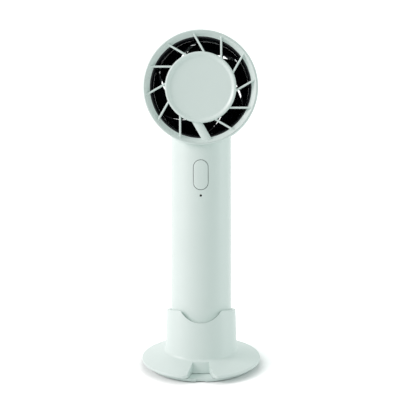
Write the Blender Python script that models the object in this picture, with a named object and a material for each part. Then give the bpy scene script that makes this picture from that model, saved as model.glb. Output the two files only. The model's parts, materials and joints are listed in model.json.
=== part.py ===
"""Portable fan that stands, leaning back, in the cup of a round foot.

Metres, +Z up. The origin is on the floor at the centre of the foot, and the front looks along -Y.
The fan is drawn upright on its own axis, and one empty leans all of it back.
"""

import math

import bmesh
import bpy
from mathutils import Vector

# General sizes
GAP = 0.0003  # between pieces that touch
OVERRUN = 0.002  # how far a cutter reaches past what it cuts
WELD = 0.000001  # points this close are one
LEAN = math.radians(15)  # of the fan and its cup, back from upright
QUARTER = math.radians(90)
TURN = math.radians(360)

# Steps round a full turn, and along arcs
LARGE_STEPS = 48
MEDIUM_STEPS = 32
SMALL_STEPS = 16
SCREW_STEPS = 10
ARC_STEPS = 4

# Foot of the stand
FOOT_RADIUS = 0.0363
FOOT_RIM_HEIGHT = 0.0051
FOOT_LIP_HEIGHT = 0.0018
FOOT_ROUNDING = 0.0005
SKIRT_ANGLE = math.radians(15)
SKIRT_WALL = 0.0017
SKIRT_FILLET = 0.0022
FOOT_OVERHANG = 0.0038  # of the lip past the leg under it
LEG_WALL = 0.0018

# Notch in the front of the foot
NOTCH_HALF_WIDTH = 0.0051  # where it meets the cup
NOTCH_FLARE = math.radians(15)
NOTCH_BACK_CLEARANCE = 0.0013  # from the cup's outside to the notch's back wall
NOTCH_CORNER = 0.0030
NOTCH_WALL = 0.0016

# Cup of the stand
CUP_WALL = 0.0024  # at the rim
CUP_TAPER = 0.00065  # how much wider it is outside where it meets the skirt
CUP_DEPTH = 0.0215
CUP_FLOOR = 0.0016
CUP_CORE_WALL = 0.0020  # of the cup where it hangs inside the foot
CUP_CLEARANCE = 0.00035
CUP_RIM_ROUNDING = 0.0006
CUP_LEAD_IN = 0.0005
SCALLOP_RADIUS = 0.0140
SCALLOP_DEPTH = 0.0074
SCALLOP_CORNER = 0.0015

# Pieces under the foot
PAD_PROUD = 0.0005
PAD_THICKNESS = 0.0008
PAD_MARGIN = 0.0020  # from the pad to the leg's outside
COVER_THICKNESS = 0.0017
COVER_EDGE = 0.0004
SLOT_HALF_WIDTH = 0.0029
SLOT_DEPTH = 0.0014
WEIGHT_THICKNESS = 0.0022  # at its edge and under the cup
WEIGHT_CLEARANCE = 0.0005

# Screws of the foot's cover
FOOT_SCREW_COUNT = 3
FOOT_SCREW_MARGIN = 0.0020  # from a screw boss to the leg's inside
FOOT_BOSS_RADIUS = 0.0025
FOOT_SCREW_RADIUS = 0.00085
FOOT_SCREW_LENGTH = 0.0040
FOOT_HEAD_RADIUS = 0.0017
FOOT_HEAD_HEIGHT = 0.0007
FOOT_PILOT_LENGTH = 0.0034

# Housing of the fan
HANDLE_RADIUS = 0.0185
HANDLE_WALL = 0.0020
HEAD_HEIGHT = 0.1573  # from the handle's lower end to the head's centre
HEAD_RADIUS = 0.0350
HEAD_WALL = 0.0020
HEAD_FRONT = 0.0210  # depth in front of the handle's axis
HEAD_BACK = 0.0185
HEAD_FRONT_ROUNDING = 0.0008
HEAD_BACK_ROUNDING = 0.0030
HEAD_BACK_ROUNDING_DEPTH = 0.0040
HEAD_LEDGE_DEPTH = 0.0040  # of the seat of the front grille, from the front
HEAD_LEDGE = 0.0011  # step of that seat
HANDLE_TRIM = 0.0032  # how far the handle runs on into the head's outline
SEAM_GAP = 0.0003

# Ribs and pillars in the housing
RIB_THICKNESS = 0.0015
RIB_CLEARANCE = 0.0004
SADDLE_SHARES = (0.23, 0.78)  # of the battery's length, for the two saddles
STOP_OPENING = 0.0060
WIRE_NOTCH_RADIUS = 0.0017
WIRE_NOTCH_INSET = 0.0026  # from the handle's bore
WIRE_NOTCH_ANGLE = math.radians(225)
PILLAR_RADIUS = 0.0030
PILOT_RADIUS = 0.00125
PILOT_DEPTH = 0.0090
SCREW_RADIUS = 0.00095
SCREW_LENGTH = 0.0125
SCREW_HEAD_RADIUS = 0.0019
SCREW_HEAD_HEIGHT = 0.0014
SCREW_SEAT = 0.0050
COUNTERBORE_RADIUS = 0.0023
LOW_SCREW_HEIGHT = 0.0103
LOW_SCREW_SPREAD = 0.0090
NECK_SCREW_DROP = 0.0040  # below the head's lower edge
NECK_SCREW_SPREAD = 0.0105
POST_RADIUS = 0.0014
POST_SPREAD = 0.0068
POST_INSET = 0.0022

# End cap and charging port
CAP_THICKNESS = 0.0023
CAP_PLUG_HEIGHT = 0.0024
CAP_PLUG_WALL = 0.0016
CAP_ROUNDING = 0.0006
PORT_WIDTH = 0.00894
PORT_HEIGHT = 0.0032
PORT_LENGTH = 0.0073
PORT_WALL = 0.0004
PORT_RECESS = 0.0003
PORT_TONGUE = 0.0007
CHARGE_BOARD_WIDTH = 0.0106
CHARGE_BOARD_LENGTH = 0.0127
BOARD_THICKNESS = 0.0012
CHARGE_CHIP = (0.0050, 0.0015, 0.0040)
BOARD_TO_STOP = 0.0030  # from the charging board to the battery's lower stop

# Battery
BATTERY_RADIUS = 0.0092
BATTERY_ROUNDING = 0.0006
TAB_RADIUS = 0.0040
TAB_THICKNESS = 0.0003

# Control board, button and indicator
CONTROL_BOARD_WIDTH = 0.0170
CONTROL_BOARD_LENGTH = 0.0245
CONTROL_BOARD_SET_BACK = 0.0087  # behind the handle's front
CONTROL_BOARD_LIFT = 0.0020  # above the rib under it
CONTROL_BOARD_DROP = 0.0077  # below the head's lower edge
MOTOR_CHIP = (0.0048, 0.0042, 0.0014)
BUTTON_INSET = 0.0105  # below the control board's upper edge
BUTTON_WIDTH = 0.0088
BUTTON_LENGTH = 0.0180
BUTTON_GAP = 0.0003
BUTTON_FLANGE = 0.0010
BUTTON_FLANGE_SET_BACK = 0.0036  # behind the handle's front
BUTTON_FLANGE_THICKNESS = 0.0013
BUTTON_STEM_RADIUS = 0.0015
SWITCH_SIDE = 0.0060
SWITCH_HEIGHT = 0.0018
PLUNGER_RADIUS = 0.0016
PLUNGER_PROUD = 0.0005
PLUNGER_DEPTH = 0.0007
INDICATOR_INSET = 0.0014  # above the control board's lower edge
PIPE_RADIUS = 0.00055
PIPE_FOOT_RADIUS = 0.0013
PIPE_CLEARANCE = 0.0002
PIPE_RECESS = 0.0003
PIPE_STEP_SET_BACK = 0.0030  # behind the handle's front
LED_SIZE = (0.0016, 0.0008, 0.0008)

# Front grille
FUNNEL_BORDER = 0.0041  # from the head's outside to the funnel's throat
FUNNEL_DEPTH = 0.0030
FUNNEL_LAND = 0.0004
GRILLE_EDGE = 0.0010
GRILLE_SET_BACK = 0.0001  # behind the housing's front edge
DISC_RADIUS = 0.0217
DISC_BORDER = 0.0028  # of the disc, outside its flat middle
DISC_DISH = 0.0010
DISC_ROUNDING = 0.0009
DISC_WALL = 0.0013
DISC_SKIRT = 0.0045
DISC_THICKNESS = 0.0021
SPOKE_COUNT = 12
SPOKE_OFFSET = 0.0125  # distance of each spoke's line from the centre
SPOKE_FIRST = math.radians(-30)  # heading of the first spoke, clockwise from up
SPOKE_THICKNESS = 0.0012
SPOKE_DEPTH = 0.0036
SPOKE_SET_BACK = 0.0008
SPOKE_CHAMFER = 0.0003
SPOKE_ROOT = 0.0008  # how far a spoke runs into the disc's wall
SPOKE_RUN_OUT = 0.0027  # how far it runs out over the funnel
WIDE_SPOKE = 6
WIDE_SPOKE_WIDTH = 0.0054
WIDE_SPOKE_SET_BACK = 0.0012
WIDE_SPOKE_SHOULDER = 0.0014
WIDE_SPOKE_ROOT = 0.0022
CHANNEL_WIDTH = 0.0032
CHANNEL_ROOF = 0.0014
BOSS_WALL = 0.0019

# Rear grille
INTAKE_BORDER = 0.0067  # from the head's outside to the intake's edge
INTAKE_THICKNESS = 0.0018
INTAKE_DOME = 0.0006
INTAKE_COUNT = 20
INTAKE_BAR = 0.0013
INTAKE_OFFSET = 0.0060
INTAKE_HUB_RADIUS = 0.0085
INTAKE_RING_SHARE = 0.485  # of the way from the hub to the edge, for the ring between
INTAKE_RING_WIDTH = 0.0016
INTAKE_EDGE = 0.0028

# Air duct
DUCT_WALL = 0.0024
DUCT_MOUTH_WALL = 0.0010  # at its two flared ends
DUCT_MOUTH_DEPTH = 0.0034
DUCT_CLEARANCE = 0.0014  # from the duct to the housing, for the leads
DUCT_LENGTH = 0.0285
DUCT_FLANGE = 0.0012
FLANGE_NOTCH_WIDTH = 0.0044

# Motor
TUBE_RADIUS = 0.0046
TUBE_WALL = 0.0013
TUBE_LENGTH = 0.0143
BEARING_HEIGHT = 0.0023
BEARING_LANDS = (0.0019, 0.0117)  # each bearing's place, from the tube's front
SHAFT_RADIUS = 0.0010
SHAFT_FRONT = 0.0008  # below the tube's front
SHAFT_LENGTH = 0.0219
CLIP_RADIUS = 0.0022
CLIP_HEIGHT = 0.0003
MOTOR_BOARD_RADIUS = 0.0150
MOTOR_BOARD_THICKNESS = 0.0010
POLE_COUNT = 6
STATOR_RADIUS = 0.0144
STATOR_HEIGHT = 0.0060
STATOR_FRONT = 0.0115
STATOR_CORE_RADIUS = 0.0070
POLE_WIDTH = 0.0032
SHOE_DEPTH = 0.0016
SHOE_SHARE = 0.80  # of a pole's pitch that its shoe fills
COIL_WALL = 0.0014
AIR_GAP = 0.0006
MAGNET_WALL = 0.0018
MAGNET_HEIGHT = 0.0085
CAN_WALL = 0.0008
CAN_HEIGHT = 0.0125

# Impeller
HUB_FRONT = 0.0134
HUB_WALL = 0.0014
HUB_SIDE = 0.0139
HUB_NOSE = 0.0080
HUB_NOSE_WALL = 0.0018
HUB_BOSS_RADIUS = 0.0032
HUB_BOSS_GAP = 0.0006  # from the boss to the end of the bearing tube
BLADE_COUNT = 6
BLADE_FIRST = math.radians(14)
BLADE_FRONT = 0.0124
BLADE_DEPTH = 0.0200
BLADE_SWEEP = math.radians(42)  # of the front edge, hub to tip
BLADE_ROOT_TURN = math.radians(60)  # of the chord, front to back
BLADE_TIP_TURN = math.radians(46)
BLADE_CAMBER = 1.25
BLADE_THICKNESS = 0.0012
BLADE_EDGE_SHARE = 0.35  # of the thickness, at the two edges
BLADE_ROOT = 0.0007
TIP_CLEARANCE = 0.0006
BLADE_STATIONS = 6
BLADE_CHORD_STEPS = 5

# Leads
LEAD_RADIUS = 0.00035
LEAD_SPACING = 0.0013
LEAD_STEPS = 3
LEAD_END = 0.0007  # from a lead's end to its board
LEAD_BEND = 0.0022
BATTERY_LEAD_SIDE = 0.0030
MOTOR_LEAD_SIDE = 0.0046  # from the middle of the control board
MOTOR_LEAD_INSET = 0.0030  # of the motor leads, behind the duct's front and inside the handle's bore

# Places worked out from the sizes above
cover_bottom = PAD_PROUD
cover_top = cover_bottom + COVER_THICKNESS
leg_bottom = cover_top + GAP
lip_bottom = FOOT_RIM_HEIGHT - FOOT_LIP_HEIGHT
weight_bottom = cover_top + GAP
weight_top = weight_bottom + WEIGHT_THICKNESS
leg_radius = FOOT_RADIUS - FOOT_OVERHANG
leg_inner = leg_radius - LEG_WALL
pad_radius = leg_radius - PAD_MARGIN
foot_screw_circle = leg_inner - FOOT_SCREW_MARGIN - FOOT_BOSS_RADIUS
cup_bore = HANDLE_RADIUS + CUP_CLEARANCE
cup_radius = cup_bore + CUP_WALL
cup_foot_radius = cup_radius + CUP_TAPER
core_radius = cup_bore + CUP_CORE_WALL
core_bottom = (weight_top + GAP + core_radius * math.sin(LEAN)) / math.cos(LEAN)
cup_floor = core_bottom + CUP_FLOOR
cup_rim = cup_floor + CUP_DEPTH
fan_bottom = cup_floor + GAP
housing_bottom = CAP_THICKNESS + GAP
handle_bore = HANDLE_RADIUS - HANDLE_WALL
head_bore = HEAD_RADIUS - HEAD_WALL
ledge_radius = head_bore + HEAD_LEDGE
head_ledge = HEAD_FRONT - HEAD_LEDGE_DEPTH
head_bottom = HEAD_HEIGHT - HEAD_RADIUS
neck_screw_height = head_bottom - NECK_SCREW_DROP
control_top = head_bottom - CONTROL_BOARD_DROP
control_bottom = control_top - CONTROL_BOARD_LENGTH
button_height = control_top - BUTTON_INSET
indicator_height = control_bottom + INDICATOR_INSET
board_bottom = housing_bottom
board_top = board_bottom + CHARGE_BOARD_LENGTH
low_stop = board_top + BOARD_TO_STOP
high_stop = control_bottom - CONTROL_BOARD_LIFT - RIB_THICKNESS
battery_bottom = low_stop + RIB_THICKNESS + GAP + TAB_THICKNESS + GAP
battery_top = high_stop - GAP - TAB_THICKNESS - GAP
battery_length = battery_top - battery_bottom
control_front = HANDLE_RADIUS - CONTROL_BOARD_SET_BACK
control_back = control_front - BOARD_THICKNESS
button_flange_front = HANDLE_RADIUS - BUTTON_FLANGE_SET_BACK
pipe_step = HANDLE_RADIUS - PIPE_STEP_SET_BACK
wire_notch_distance = handle_bore - WIRE_NOTCH_INSET
grille_radius = ledge_radius - GAP
grille_front = HEAD_FRONT - GRILLE_SET_BACK
funnel_inner_radius = HEAD_RADIUS - FUNNEL_BORDER
funnel_bottom = grille_front - FUNNEL_DEPTH
ring_back = head_ledge + GAP
disc_flat_radius = DISC_RADIUS - DISC_BORDER
disc_floor = grille_front - DISC_DISH
disc_back = disc_floor - DISC_THICKNESS
skirt_back = disc_back + DISC_THICKNESS - DISC_SKIRT
spoke_front = grille_front - SPOKE_SET_BACK
spoke_back = spoke_front - SPOKE_DEPTH
wide_front = grille_front - WIDE_SPOKE_SET_BACK
channel_top = wide_front - CHANNEL_ROOF
boss_bore = TUBE_RADIUS + GAP
boss_radius = boss_bore + BOSS_WALL
tube_front = disc_back - 2 * GAP
tube_back = tube_front - TUBE_LENGTH
tube_bore = TUBE_RADIUS - TUBE_WALL
bearing_radius = tube_bore - GAP
shaft_front = tube_front - SHAFT_FRONT
shaft_back = shaft_front - SHAFT_LENGTH
motor_board_top = disc_back - GAP
motor_board_back = motor_board_top - MOTOR_BOARD_THICKNESS
stator_back = STATOR_FRONT - STATOR_HEIGHT
magnet_inner = STATOR_RADIUS + AIR_GAP
magnet_outer = magnet_inner + MAGNET_WALL
can_inner = magnet_outer + GAP
can_outer = can_inner + CAN_WALL
hub_inner = can_outer + GAP
hub_radius = hub_inner + HUB_WALL
can_front = HUB_FRONT - 2 * GAP
can_back = can_front - CAN_HEIGHT
magnet_front = can_front - GAP
hub_side_back = HUB_FRONT - HUB_SIDE
boss_front = tube_back - HUB_BOSS_GAP
duct_outer_radius = head_bore - DUCT_CLEARANCE
duct_inner_radius = duct_outer_radius - DUCT_WALL
duct_mouth_radius = duct_outer_radius - DUCT_MOUTH_WALL
blade_tip = duct_inner_radius - TIP_CLEARANCE
duct_front = spoke_back - GAP
duct_back = duct_front - DUCT_LENGTH
intake_radius = HEAD_RADIUS - INTAKE_BORDER
intake_outer = intake_radius - GAP
intake_reach = intake_outer - INTAKE_EDGE
intake_ring_radius = INTAKE_HUB_RADIUS + INTAKE_RING_SHARE * (intake_reach - INTAKE_HUB_RADIUS)
intake_front = -HEAD_BACK + INTAKE_THICKNESS + INTAKE_DOME
switch_back = control_front + GAP
switch_front = switch_back + SWITCH_HEIGHT
plunger_front = switch_front + PLUNGER_PROUD
flange_back = button_flange_front - BUTTON_FLANGE_THICKNESS

FINISHES = {
    "white plastic": ((0.78, 0.85, 0.83), 0.38, 0.0),
    "black plastic": ((0.012, 0.014, 0.016), 0.25, 0.0),
    "blade plastic": ((0.008, 0.009, 0.012), 0.12, 0.0),
    "smoked lens": ((0.02, 0.02, 0.02), 0.15, 0.0),
    "foam rubber": ((0.05, 0.05, 0.05), 0.9, 0.0),
    "zinc steel": ((0.62, 0.63, 0.64), 0.35, 1.0),
    "dark steel": ((0.25, 0.25, 0.26), 0.45, 1.0),
    "laminations": ((0.35, 0.35, 0.36), 0.5, 1.0),
    "magnet": ((0.06, 0.055, 0.05), 0.7, 0.0),
    "brass": ((0.78, 0.58, 0.26), 0.3, 1.0),
    "copper wire": ((0.72, 0.33, 0.14), 0.35, 1.0),
    "nickel": ((0.7, 0.68, 0.64), 0.3, 1.0),
    "board green": ((0.02, 0.16, 0.07), 0.45, 0.0),
    "battery wrap": ((0.10, 0.28, 0.55), 0.4, 0.0),
    "chip black": ((0.03, 0.03, 0.03), 0.5, 0.0),
    "red lead": ((0.6, 0.03, 0.03), 0.5, 0.0),
    "black lead": ((0.02, 0.02, 0.02), 0.5, 0.0),
}


# Helpers
def empty(name, parent=None, location=(0, 0, 0), tilt=0.0):
    """An empty that carries pieces: placed in its parent and turned about X."""
    carrier = bpy.data.objects.new(name, None)
    bpy.context.scene.collection.objects.link(carrier)
    carrier.parent = parent
    carrier.location = location
    carrier.rotation_euler = (tilt, 0, 0)
    return carrier


def solid(name, bm, parent, finish=None, location=(0, 0, 0), rotation=(0, 0, 0)):
    """A named object from a bmesh. Without a finish it is a guide, which isn't rendered."""
    bmesh.ops.remove_doubles(bm, verts=bm.verts, dist=WELD)
    bmesh.ops.recalc_face_normals(bm, faces=bm.faces)
    bmesh.ops.dissolve_verts(bm, verts=[vert for vert in bm.verts if is_flat_hub(vert)])
    mesh = bpy.data.meshes.new(name)
    bm.to_mesh(mesh)
    bm.free()
    mesh.shade_smooth()
    mesh.set_sharp_from_angle(angle=math.radians(35))
    made = bpy.data.objects.new(name, mesh)
    bpy.context.scene.collection.objects.link(made)
    made.parent = parent
    made.location = location
    made.rotation_euler = rotation
    if finish:
        made.data.materials.append(material(name, finish))
    else:
        made.hide_render = True
        made.display_type = "WIRE"
    return made


def is_flat_hub(vert):
    """Whether a corner is the middle of a flat fan of triangles."""
    faces = vert.link_faces
    return len(faces) > 6 and all(face.normal.dot(faces[0].normal) > 0.9999 for face in faces)


def material(name, finish):
    colour, roughness, metallic = FINISHES[finish]
    made = bpy.data.materials.new(f"{name} {finish}")
    made.use_nodes = True
    shader = made.node_tree.nodes["Principled BSDF"]
    shader.inputs["Base Color"].default_value = (*colour, 1)
    shader.inputs["Roughness"].default_value = roughness
    shader.inputs["Metallic"].default_value = metallic
    made.diffuse_color = (*colour, 1)
    return made


def weld(target, name):
    """Joins points that fell on the same place."""
    step = target.modifiers.new(f"weld {name}", "WELD")
    step.merge_threshold = WELD


def combine(target, operation, *others):
    """Booleans on the target, which stay as modifiers."""
    for other in others:
        step = target.modifiers.new(f"{operation.lower()} {other.name}", "BOOLEAN")
        step.operation = operation
        step.solver = "EXACT"
        step.object = other
        weld(target, other.name)
    return target


def turn_profile(bm, profile, steps, centre=(0, 0)):
    """Spins (radius, height) points about Z. A chain from axis to axis is open, any other closes."""
    points = [bm.verts.new((centre[0] + radius, centre[1], height)) for radius, height in profile]
    pairs = list(zip(points, points[1:]))
    if profile[0][0] > 0 or profile[-1][0] > 0:
        pairs.append((points[-1], points[0]))
    edges = [bm.edges.new(pair) for pair in pairs]
    bmesh.ops.spin(
        bm,
        geom=points + edges,
        cent=(*centre, 0),
        axis=(0, 0, 1),
        angle=TURN,
        steps=steps,
        use_merge=True,
    )


def turned(name, profile, steps, parent, finish=None, **place):
    bm = bmesh.new()
    turn_profile(bm, profile, steps)
    return solid(name, bm, parent, finish, **place)


def extrude_outline(bm, outline, low, high):
    """A prism along Z from a closed (x, y) outline."""
    face = bm.faces.new([bm.verts.new((x, y, low)) for x, y in outline])
    raised = bmesh.ops.extrude_face_region(bm, geom=[face])["geom"]
    corners = [item for item in raised if isinstance(item, bmesh.types.BMVert)]
    bmesh.ops.translate(bm, verts=corners, vec=(0, 0, high - low))


def extruded(name, outline, low, high, parent, finish=None, **place):
    bm = bmesh.new()
    extrude_outline(bm, outline, low, high)
    return solid(name, bm, parent, finish, **place)


def box_outline(width, height, centre=(0, 0)):
    x, y = centre
    return [
        (x - width / 2, y - height / 2),
        (x + width / 2, y - height / 2),
        (x + width / 2, y + height / 2),
        (x - width / 2, y + height / 2),
    ]


def block(name, size, centre, parent, finish=None):
    """A box from its size and centre."""
    return extruded(
        name,
        box_outline(size[0], size[1], centre[:2]),
        centre[2] - size[2] / 2,
        centre[2] + size[2] / 2,
        parent,
        finish,
    )


def loft(bm, rings):
    """A skin through rings of as many points each, closed at both ends."""
    points = [bm.verts.new(point) for point in rings[0]]
    edges = [bm.edges.new(pair) for pair in zip(points, points[1:] + points[:1])]
    bmesh.ops.edgeloop_fill(bm, edges=edges)
    for ring in rings[1:]:
        raised = set(bmesh.ops.extrude_edge_only(bm, edges=edges)["geom"])
        points = [
            next(edge.other_vert(point) for edge in point.link_edges if edge.other_vert(point) in raised)
            for point in points
        ]
        edges = [bm.edges.get(pair) for pair in zip(points, points[1:] + points[:1])]
        for point, place in zip(points, ring):
            point.co = place
    bmesh.ops.edgeloop_fill(bm, edges=edges)


def arc(centre, radius, start, end, steps=ARC_STEPS, depth=None):
    """Points of an arc, or of an elliptic one where its second half-axis is given."""
    second = radius if depth is None else depth
    angles = [start + (end - start) * step / steps for step in range(steps + 1)]
    return [
        (centre[0] + radius * math.cos(angle), centre[1] + second * math.sin(angle))
        for angle in angles
    ]


def circle(radius, height, steps=LARGE_STEPS):
    angles = [TURN * step / steps for step in range(steps)]
    return [(radius * math.cos(angle), radius * math.sin(angle), height) for angle in angles]


def pill(width, length, steps=SMALL_STEPS // 2):
    """Outline of a slot with round ends, long in Y."""
    reach = (length - width) / 2
    top = arc((0, reach), width / 2, 0, 2 * QUARTER, steps)
    return top + arc((0, -reach), width / 2, 2 * QUARTER, TURN, steps)


def smooth_route(points, steps=LEAD_STEPS):
    """Points along a smooth curve through the given ones."""
    points = [Vector(point) for point in points]
    ends = [2 * points[0] - points[1], *points, 2 * points[-1] - points[-2]]
    route = []
    for before, start, end, after in zip(ends, ends[1:], ends[2:], ends[3:]):
        for step in range(steps):
            share = step / steps
            route.append(
                (
                    2 * start
                    + (end - before) * share
                    + (2 * before - 5 * start + 4 * end - after) * share**2
                    + (3 * start - before - 3 * end + after) * share**3
                )
                / 2
            )
    return [*route, points[-1]]


def lead(name, points, finish, parent):
    """A held wire: a bevelled curve along a smooth route, with closed ends."""
    route = smooth_route(points)
    curve = bpy.data.curves.new(name, "CURVE")
    curve.dimensions = "3D"
    curve.bevel_depth = LEAD_RADIUS
    curve.bevel_resolution = 2
    curve.use_fill_caps = True
    spline = curve.splines.new("POLY")
    spline.points.add(len(route) - 1)
    for point, place in zip(spline.points, route):
        point.co = (*place, 1)
    made = bpy.data.objects.new(name, curve)
    bpy.context.scene.collection.objects.link(made)
    made.parent = parent
    made.data.materials.append(material(name, finish))
    weld(made, "ends")
    return made


# Stand
def cup_point(radius, angle, height):
    """A point on the leaning cup's axis frame, in the world."""
    x = radius * math.cos(angle)
    y = radius * math.sin(angle)
    return Vector(
        (
            x,
            y * math.cos(LEAN) + height * math.sin(LEAN),
            height * math.cos(LEAN) - y * math.sin(LEAN),
        )
    )


def skirt_height(radius):
    return FOOT_RIM_HEIGHT + (FOOT_RADIUS - radius) * math.tan(SKIRT_ANGLE)


def fillet_section(angle):
    """Where a ball between the cup and the skirt touches both, as an arc up from the skirt."""
    low = 0.0
    high = cup_rim
    while high - low > WELD:
        middle = (low + high) / 2
        ball = cup_point(cup_foot_radius + SKIRT_FILLET, angle, middle)
        reach = math.hypot(ball.x, ball.y)
        if ball.z - skirt_height(reach) > SKIRT_FILLET / math.cos(SKIRT_ANGLE):
            high = middle
        else:
            low = middle
    outward = math.atan2(ball.y, ball.x)
    to_skirt = -Vector(
        (
            math.sin(SKIRT_ANGLE) * math.cos(outward),
            math.sin(SKIRT_ANGLE) * math.sin(outward),
            math.cos(SKIRT_ANGLE),
        )
    )
    to_cup = (cup_point(cup_foot_radius, angle, middle) - ball).normalized()
    return [
        ball + SKIRT_FILLET * to_skirt.slerp(to_cup, step / ARC_STEPS)
        for step in range(ARC_STEPS + 1)
    ]


def notch_outline(extra):
    """The foot's notch seen from above: straight flaring sides, from inside the cup to the rounded rim."""
    half = NOTCH_HALF_WIDTH + extra / math.cos(NOTCH_FLARE)
    start = Vector((half, -cup_foot_radius))
    along = Vector((math.sin(NOTCH_FLARE), -math.cos(NOTCH_FLARE)))
    outward = Vector((math.cos(NOTCH_FLARE), math.sin(NOTCH_FLARE)))
    corner = NOTCH_CORNER - extra
    middle = start + corner * outward
    forward = middle.dot(along)
    run = -forward + math.sqrt(
        forward**2 - middle.length_squared + (FOOT_RADIUS - NOTCH_CORNER) ** 2
    )
    centre = middle + run * along
    first = math.atan2(-outward.y, -outward.x)
    last = math.atan2(centre.y, centre.x)
    side = [(half / 2, half / (2 * math.tan(NOTCH_FLARE)) - cup_foot_radius)]
    side += arc(centre, corner, first + TURN, last + TURN)
    side.append(tuple(Vector(side[-1]) + OVERRUN * 2 * centre.normalized()))
    return side + [(-x, y) for x, y in reversed(side)]


def screw_angles():
    return [QUARTER + TURN * step / FOOT_SCREW_COUNT for step in range(FOOT_SCREW_COUNT)]


def foot_pins(name, lengths):
    """An upright pin at each screw of the foot, from (radius, low, high) lengths."""
    profile = [(0, lengths[0][1])]
    for radius, low, high in lengths:
        profile += [(radius, low), (radius, high)]
    profile.append((0, lengths[-1][2]))
    bm = bmesh.new()
    for angle in screw_angles():
        centre = (foot_screw_circle * math.cos(angle), foot_screw_circle * math.sin(angle))
        turn_profile(bm, profile, SCREW_STEPS, centre)
    return solid(name, bm, None)


def make_notch_cutter(name, extra, lean_axis):
    """The notch as a block. Its back wall follows the leaning cup."""
    cutter = extruded(name, notch_outline(extra), -OVERRUN, skirt_height(0), None)
    back = cup_foot_radius + NOTCH_BACK_CLEARANCE - extra
    keep = turned(
        f"{name}_back",
        [(0, -cup_rim), (back, -cup_rim), (back, cup_rim), (0, cup_rim)],
        LARGE_STEPS,
        lean_axis,
    )
    return combine(cutter, "DIFFERENCE", keep)


def make_base_shell(lean_axis):
    """Cup and skirt in one moulding, hollow from below."""
    angles = [TURN * step / LARGE_STEPS for step in range(LARGE_STEPS)]
    fillet = list(zip(*[fillet_section(angle) for angle in angles]))
    round_rim = arc(
        (cup_radius - CUP_RIM_ROUNDING, cup_rim - CUP_RIM_ROUNDING), CUP_RIM_ROUNDING, 0, QUARTER, 2
    )
    rings = [
        circle(leg_radius, leg_bottom),
        circle(leg_radius, lip_bottom),
        circle(FOOT_RADIUS - FOOT_ROUNDING, lip_bottom),
        circle(FOOT_RADIUS, lip_bottom + FOOT_ROUNDING),
        circle(FOOT_RADIUS, FOOT_RIM_HEIGHT - FOOT_ROUNDING),
        circle(FOOT_RADIUS - FOOT_ROUNDING, skirt_height(FOOT_RADIUS - FOOT_ROUNDING)),
        *fillet,
        *[[cup_point(radius, angle, height) for angle in angles] for radius, height in round_rim],
    ]
    bm = bmesh.new()
    loft(bm, rings)
    shell = solid("base_shell", bm, None, "white plastic")

    bore = turned(
        "cup_bore",
        [
            (0, cup_floor),
            (cup_bore, cup_floor),
            (cup_bore, cup_rim - CUP_LEAD_IN),
            (cup_bore + CUP_LEAD_IN + OVERRUN, cup_rim + OVERRUN),
            (0, cup_rim + OVERRUN),
        ],
        LARGE_STEPS,
        lean_axis,
    )
    cavity = turned(
        "foot_cavity",
        [
            (0, 0),
            (leg_inner, 0),
            (leg_inner, skirt_height(leg_inner) - SKIRT_WALL),
            (0, skirt_height(0) - SKIRT_WALL),
        ],
        LARGE_STEPS,
        None,
    )
    core = turned(
        "cup_core",
        [(0, core_bottom), (core_radius, core_bottom), (core_radius, cup_rim), (0, cup_rim)],
        LARGE_STEPS,
        lean_axis,
    )
    wall = make_notch_cutter("notch_wall", NOTCH_WALL, lean_axis)
    bosses = foot_pins("foot_bosses", [(FOOT_BOSS_RADIUS, -OVERRUN, skirt_height(0))])
    combine(cavity, "DIFFERENCE", core, wall, bosses)
    pilots = foot_pins(
        "foot_pilots", [(FOOT_SCREW_RADIUS + GAP, 0, weight_bottom + FOOT_PILOT_LENGTH)]
    )
    notch = make_notch_cutter("notch", 0, lean_axis)
    combine(shell, "DIFFERENCE", bore, cavity, pilots, notch, make_scallop(lean_axis))


def make_scallop(lean_axis):
    """U-shaped cut through the front of the cup's rim, its corners rounded into the rim."""
    lift = SCALLOP_RADIUS - SCALLOP_DEPTH
    reach = math.sqrt((SCALLOP_RADIUS + SCALLOP_CORNER) ** 2 - (lift + SCALLOP_CORNER) ** 2)
    corner = (reach, -SCALLOP_CORNER)
    tangent = math.atan2(lift + SCALLOP_CORNER, -reach)
    side = [(reach, OVERRUN), *arc(corner, SCALLOP_CORNER, QUARTER, tangent, 3)]
    bowl = arc((0, lift), SCALLOP_RADIUS, tangent - 2 * QUARTER, -QUARTER, 3 * ARC_STEPS)
    half = side + bowl[1:]
    outline = half + [(-x, y) for x, y in reversed(half[:-1])]
    return extruded(
        "scallop",
        outline,
        0,
        cup_foot_radius + OVERRUN,
        lean_axis,
        location=(0, 0, cup_rim),
        rotation=(QUARTER, 0, 0),
    )


def make_base_cover():
    """Round cover with a shallow seat for the pad, screw holes and a slot in its front edge."""
    seat_height = cover_bottom + PAD_THICKNESS - PAD_PROUD + GAP
    cover = turned(
        "base_cover",
        [
            (0, seat_height),
            (pad_radius + GAP, seat_height),
            (pad_radius + GAP, cover_bottom),
            (leg_radius - COVER_EDGE, cover_bottom),
            (leg_radius, cover_bottom + COVER_EDGE),
            (leg_radius, cover_top),
            (0, cover_top),
        ],
        LARGE_STEPS,
        None,
        "white plastic",
    )
    head_height = seat_height + FOOT_HEAD_HEIGHT
    holes = foot_pins(
        "cover_holes",
        [
            (FOOT_HEAD_RADIUS + GAP, 0, head_height),
            (FOOT_SCREW_RADIUS + GAP, head_height, cover_top + OVERRUN),
        ],
    )
    slot = extruded(
        "pry_slot",
        box_outline(2 * SLOT_HALF_WIDTH, 2 * SLOT_DEPTH, (0, -leg_radius)),
        -OVERRUN,
        cover_top + OVERRUN,
        None,
    )
    combine(cover, "DIFFERENCE", holes, slot)


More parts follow.
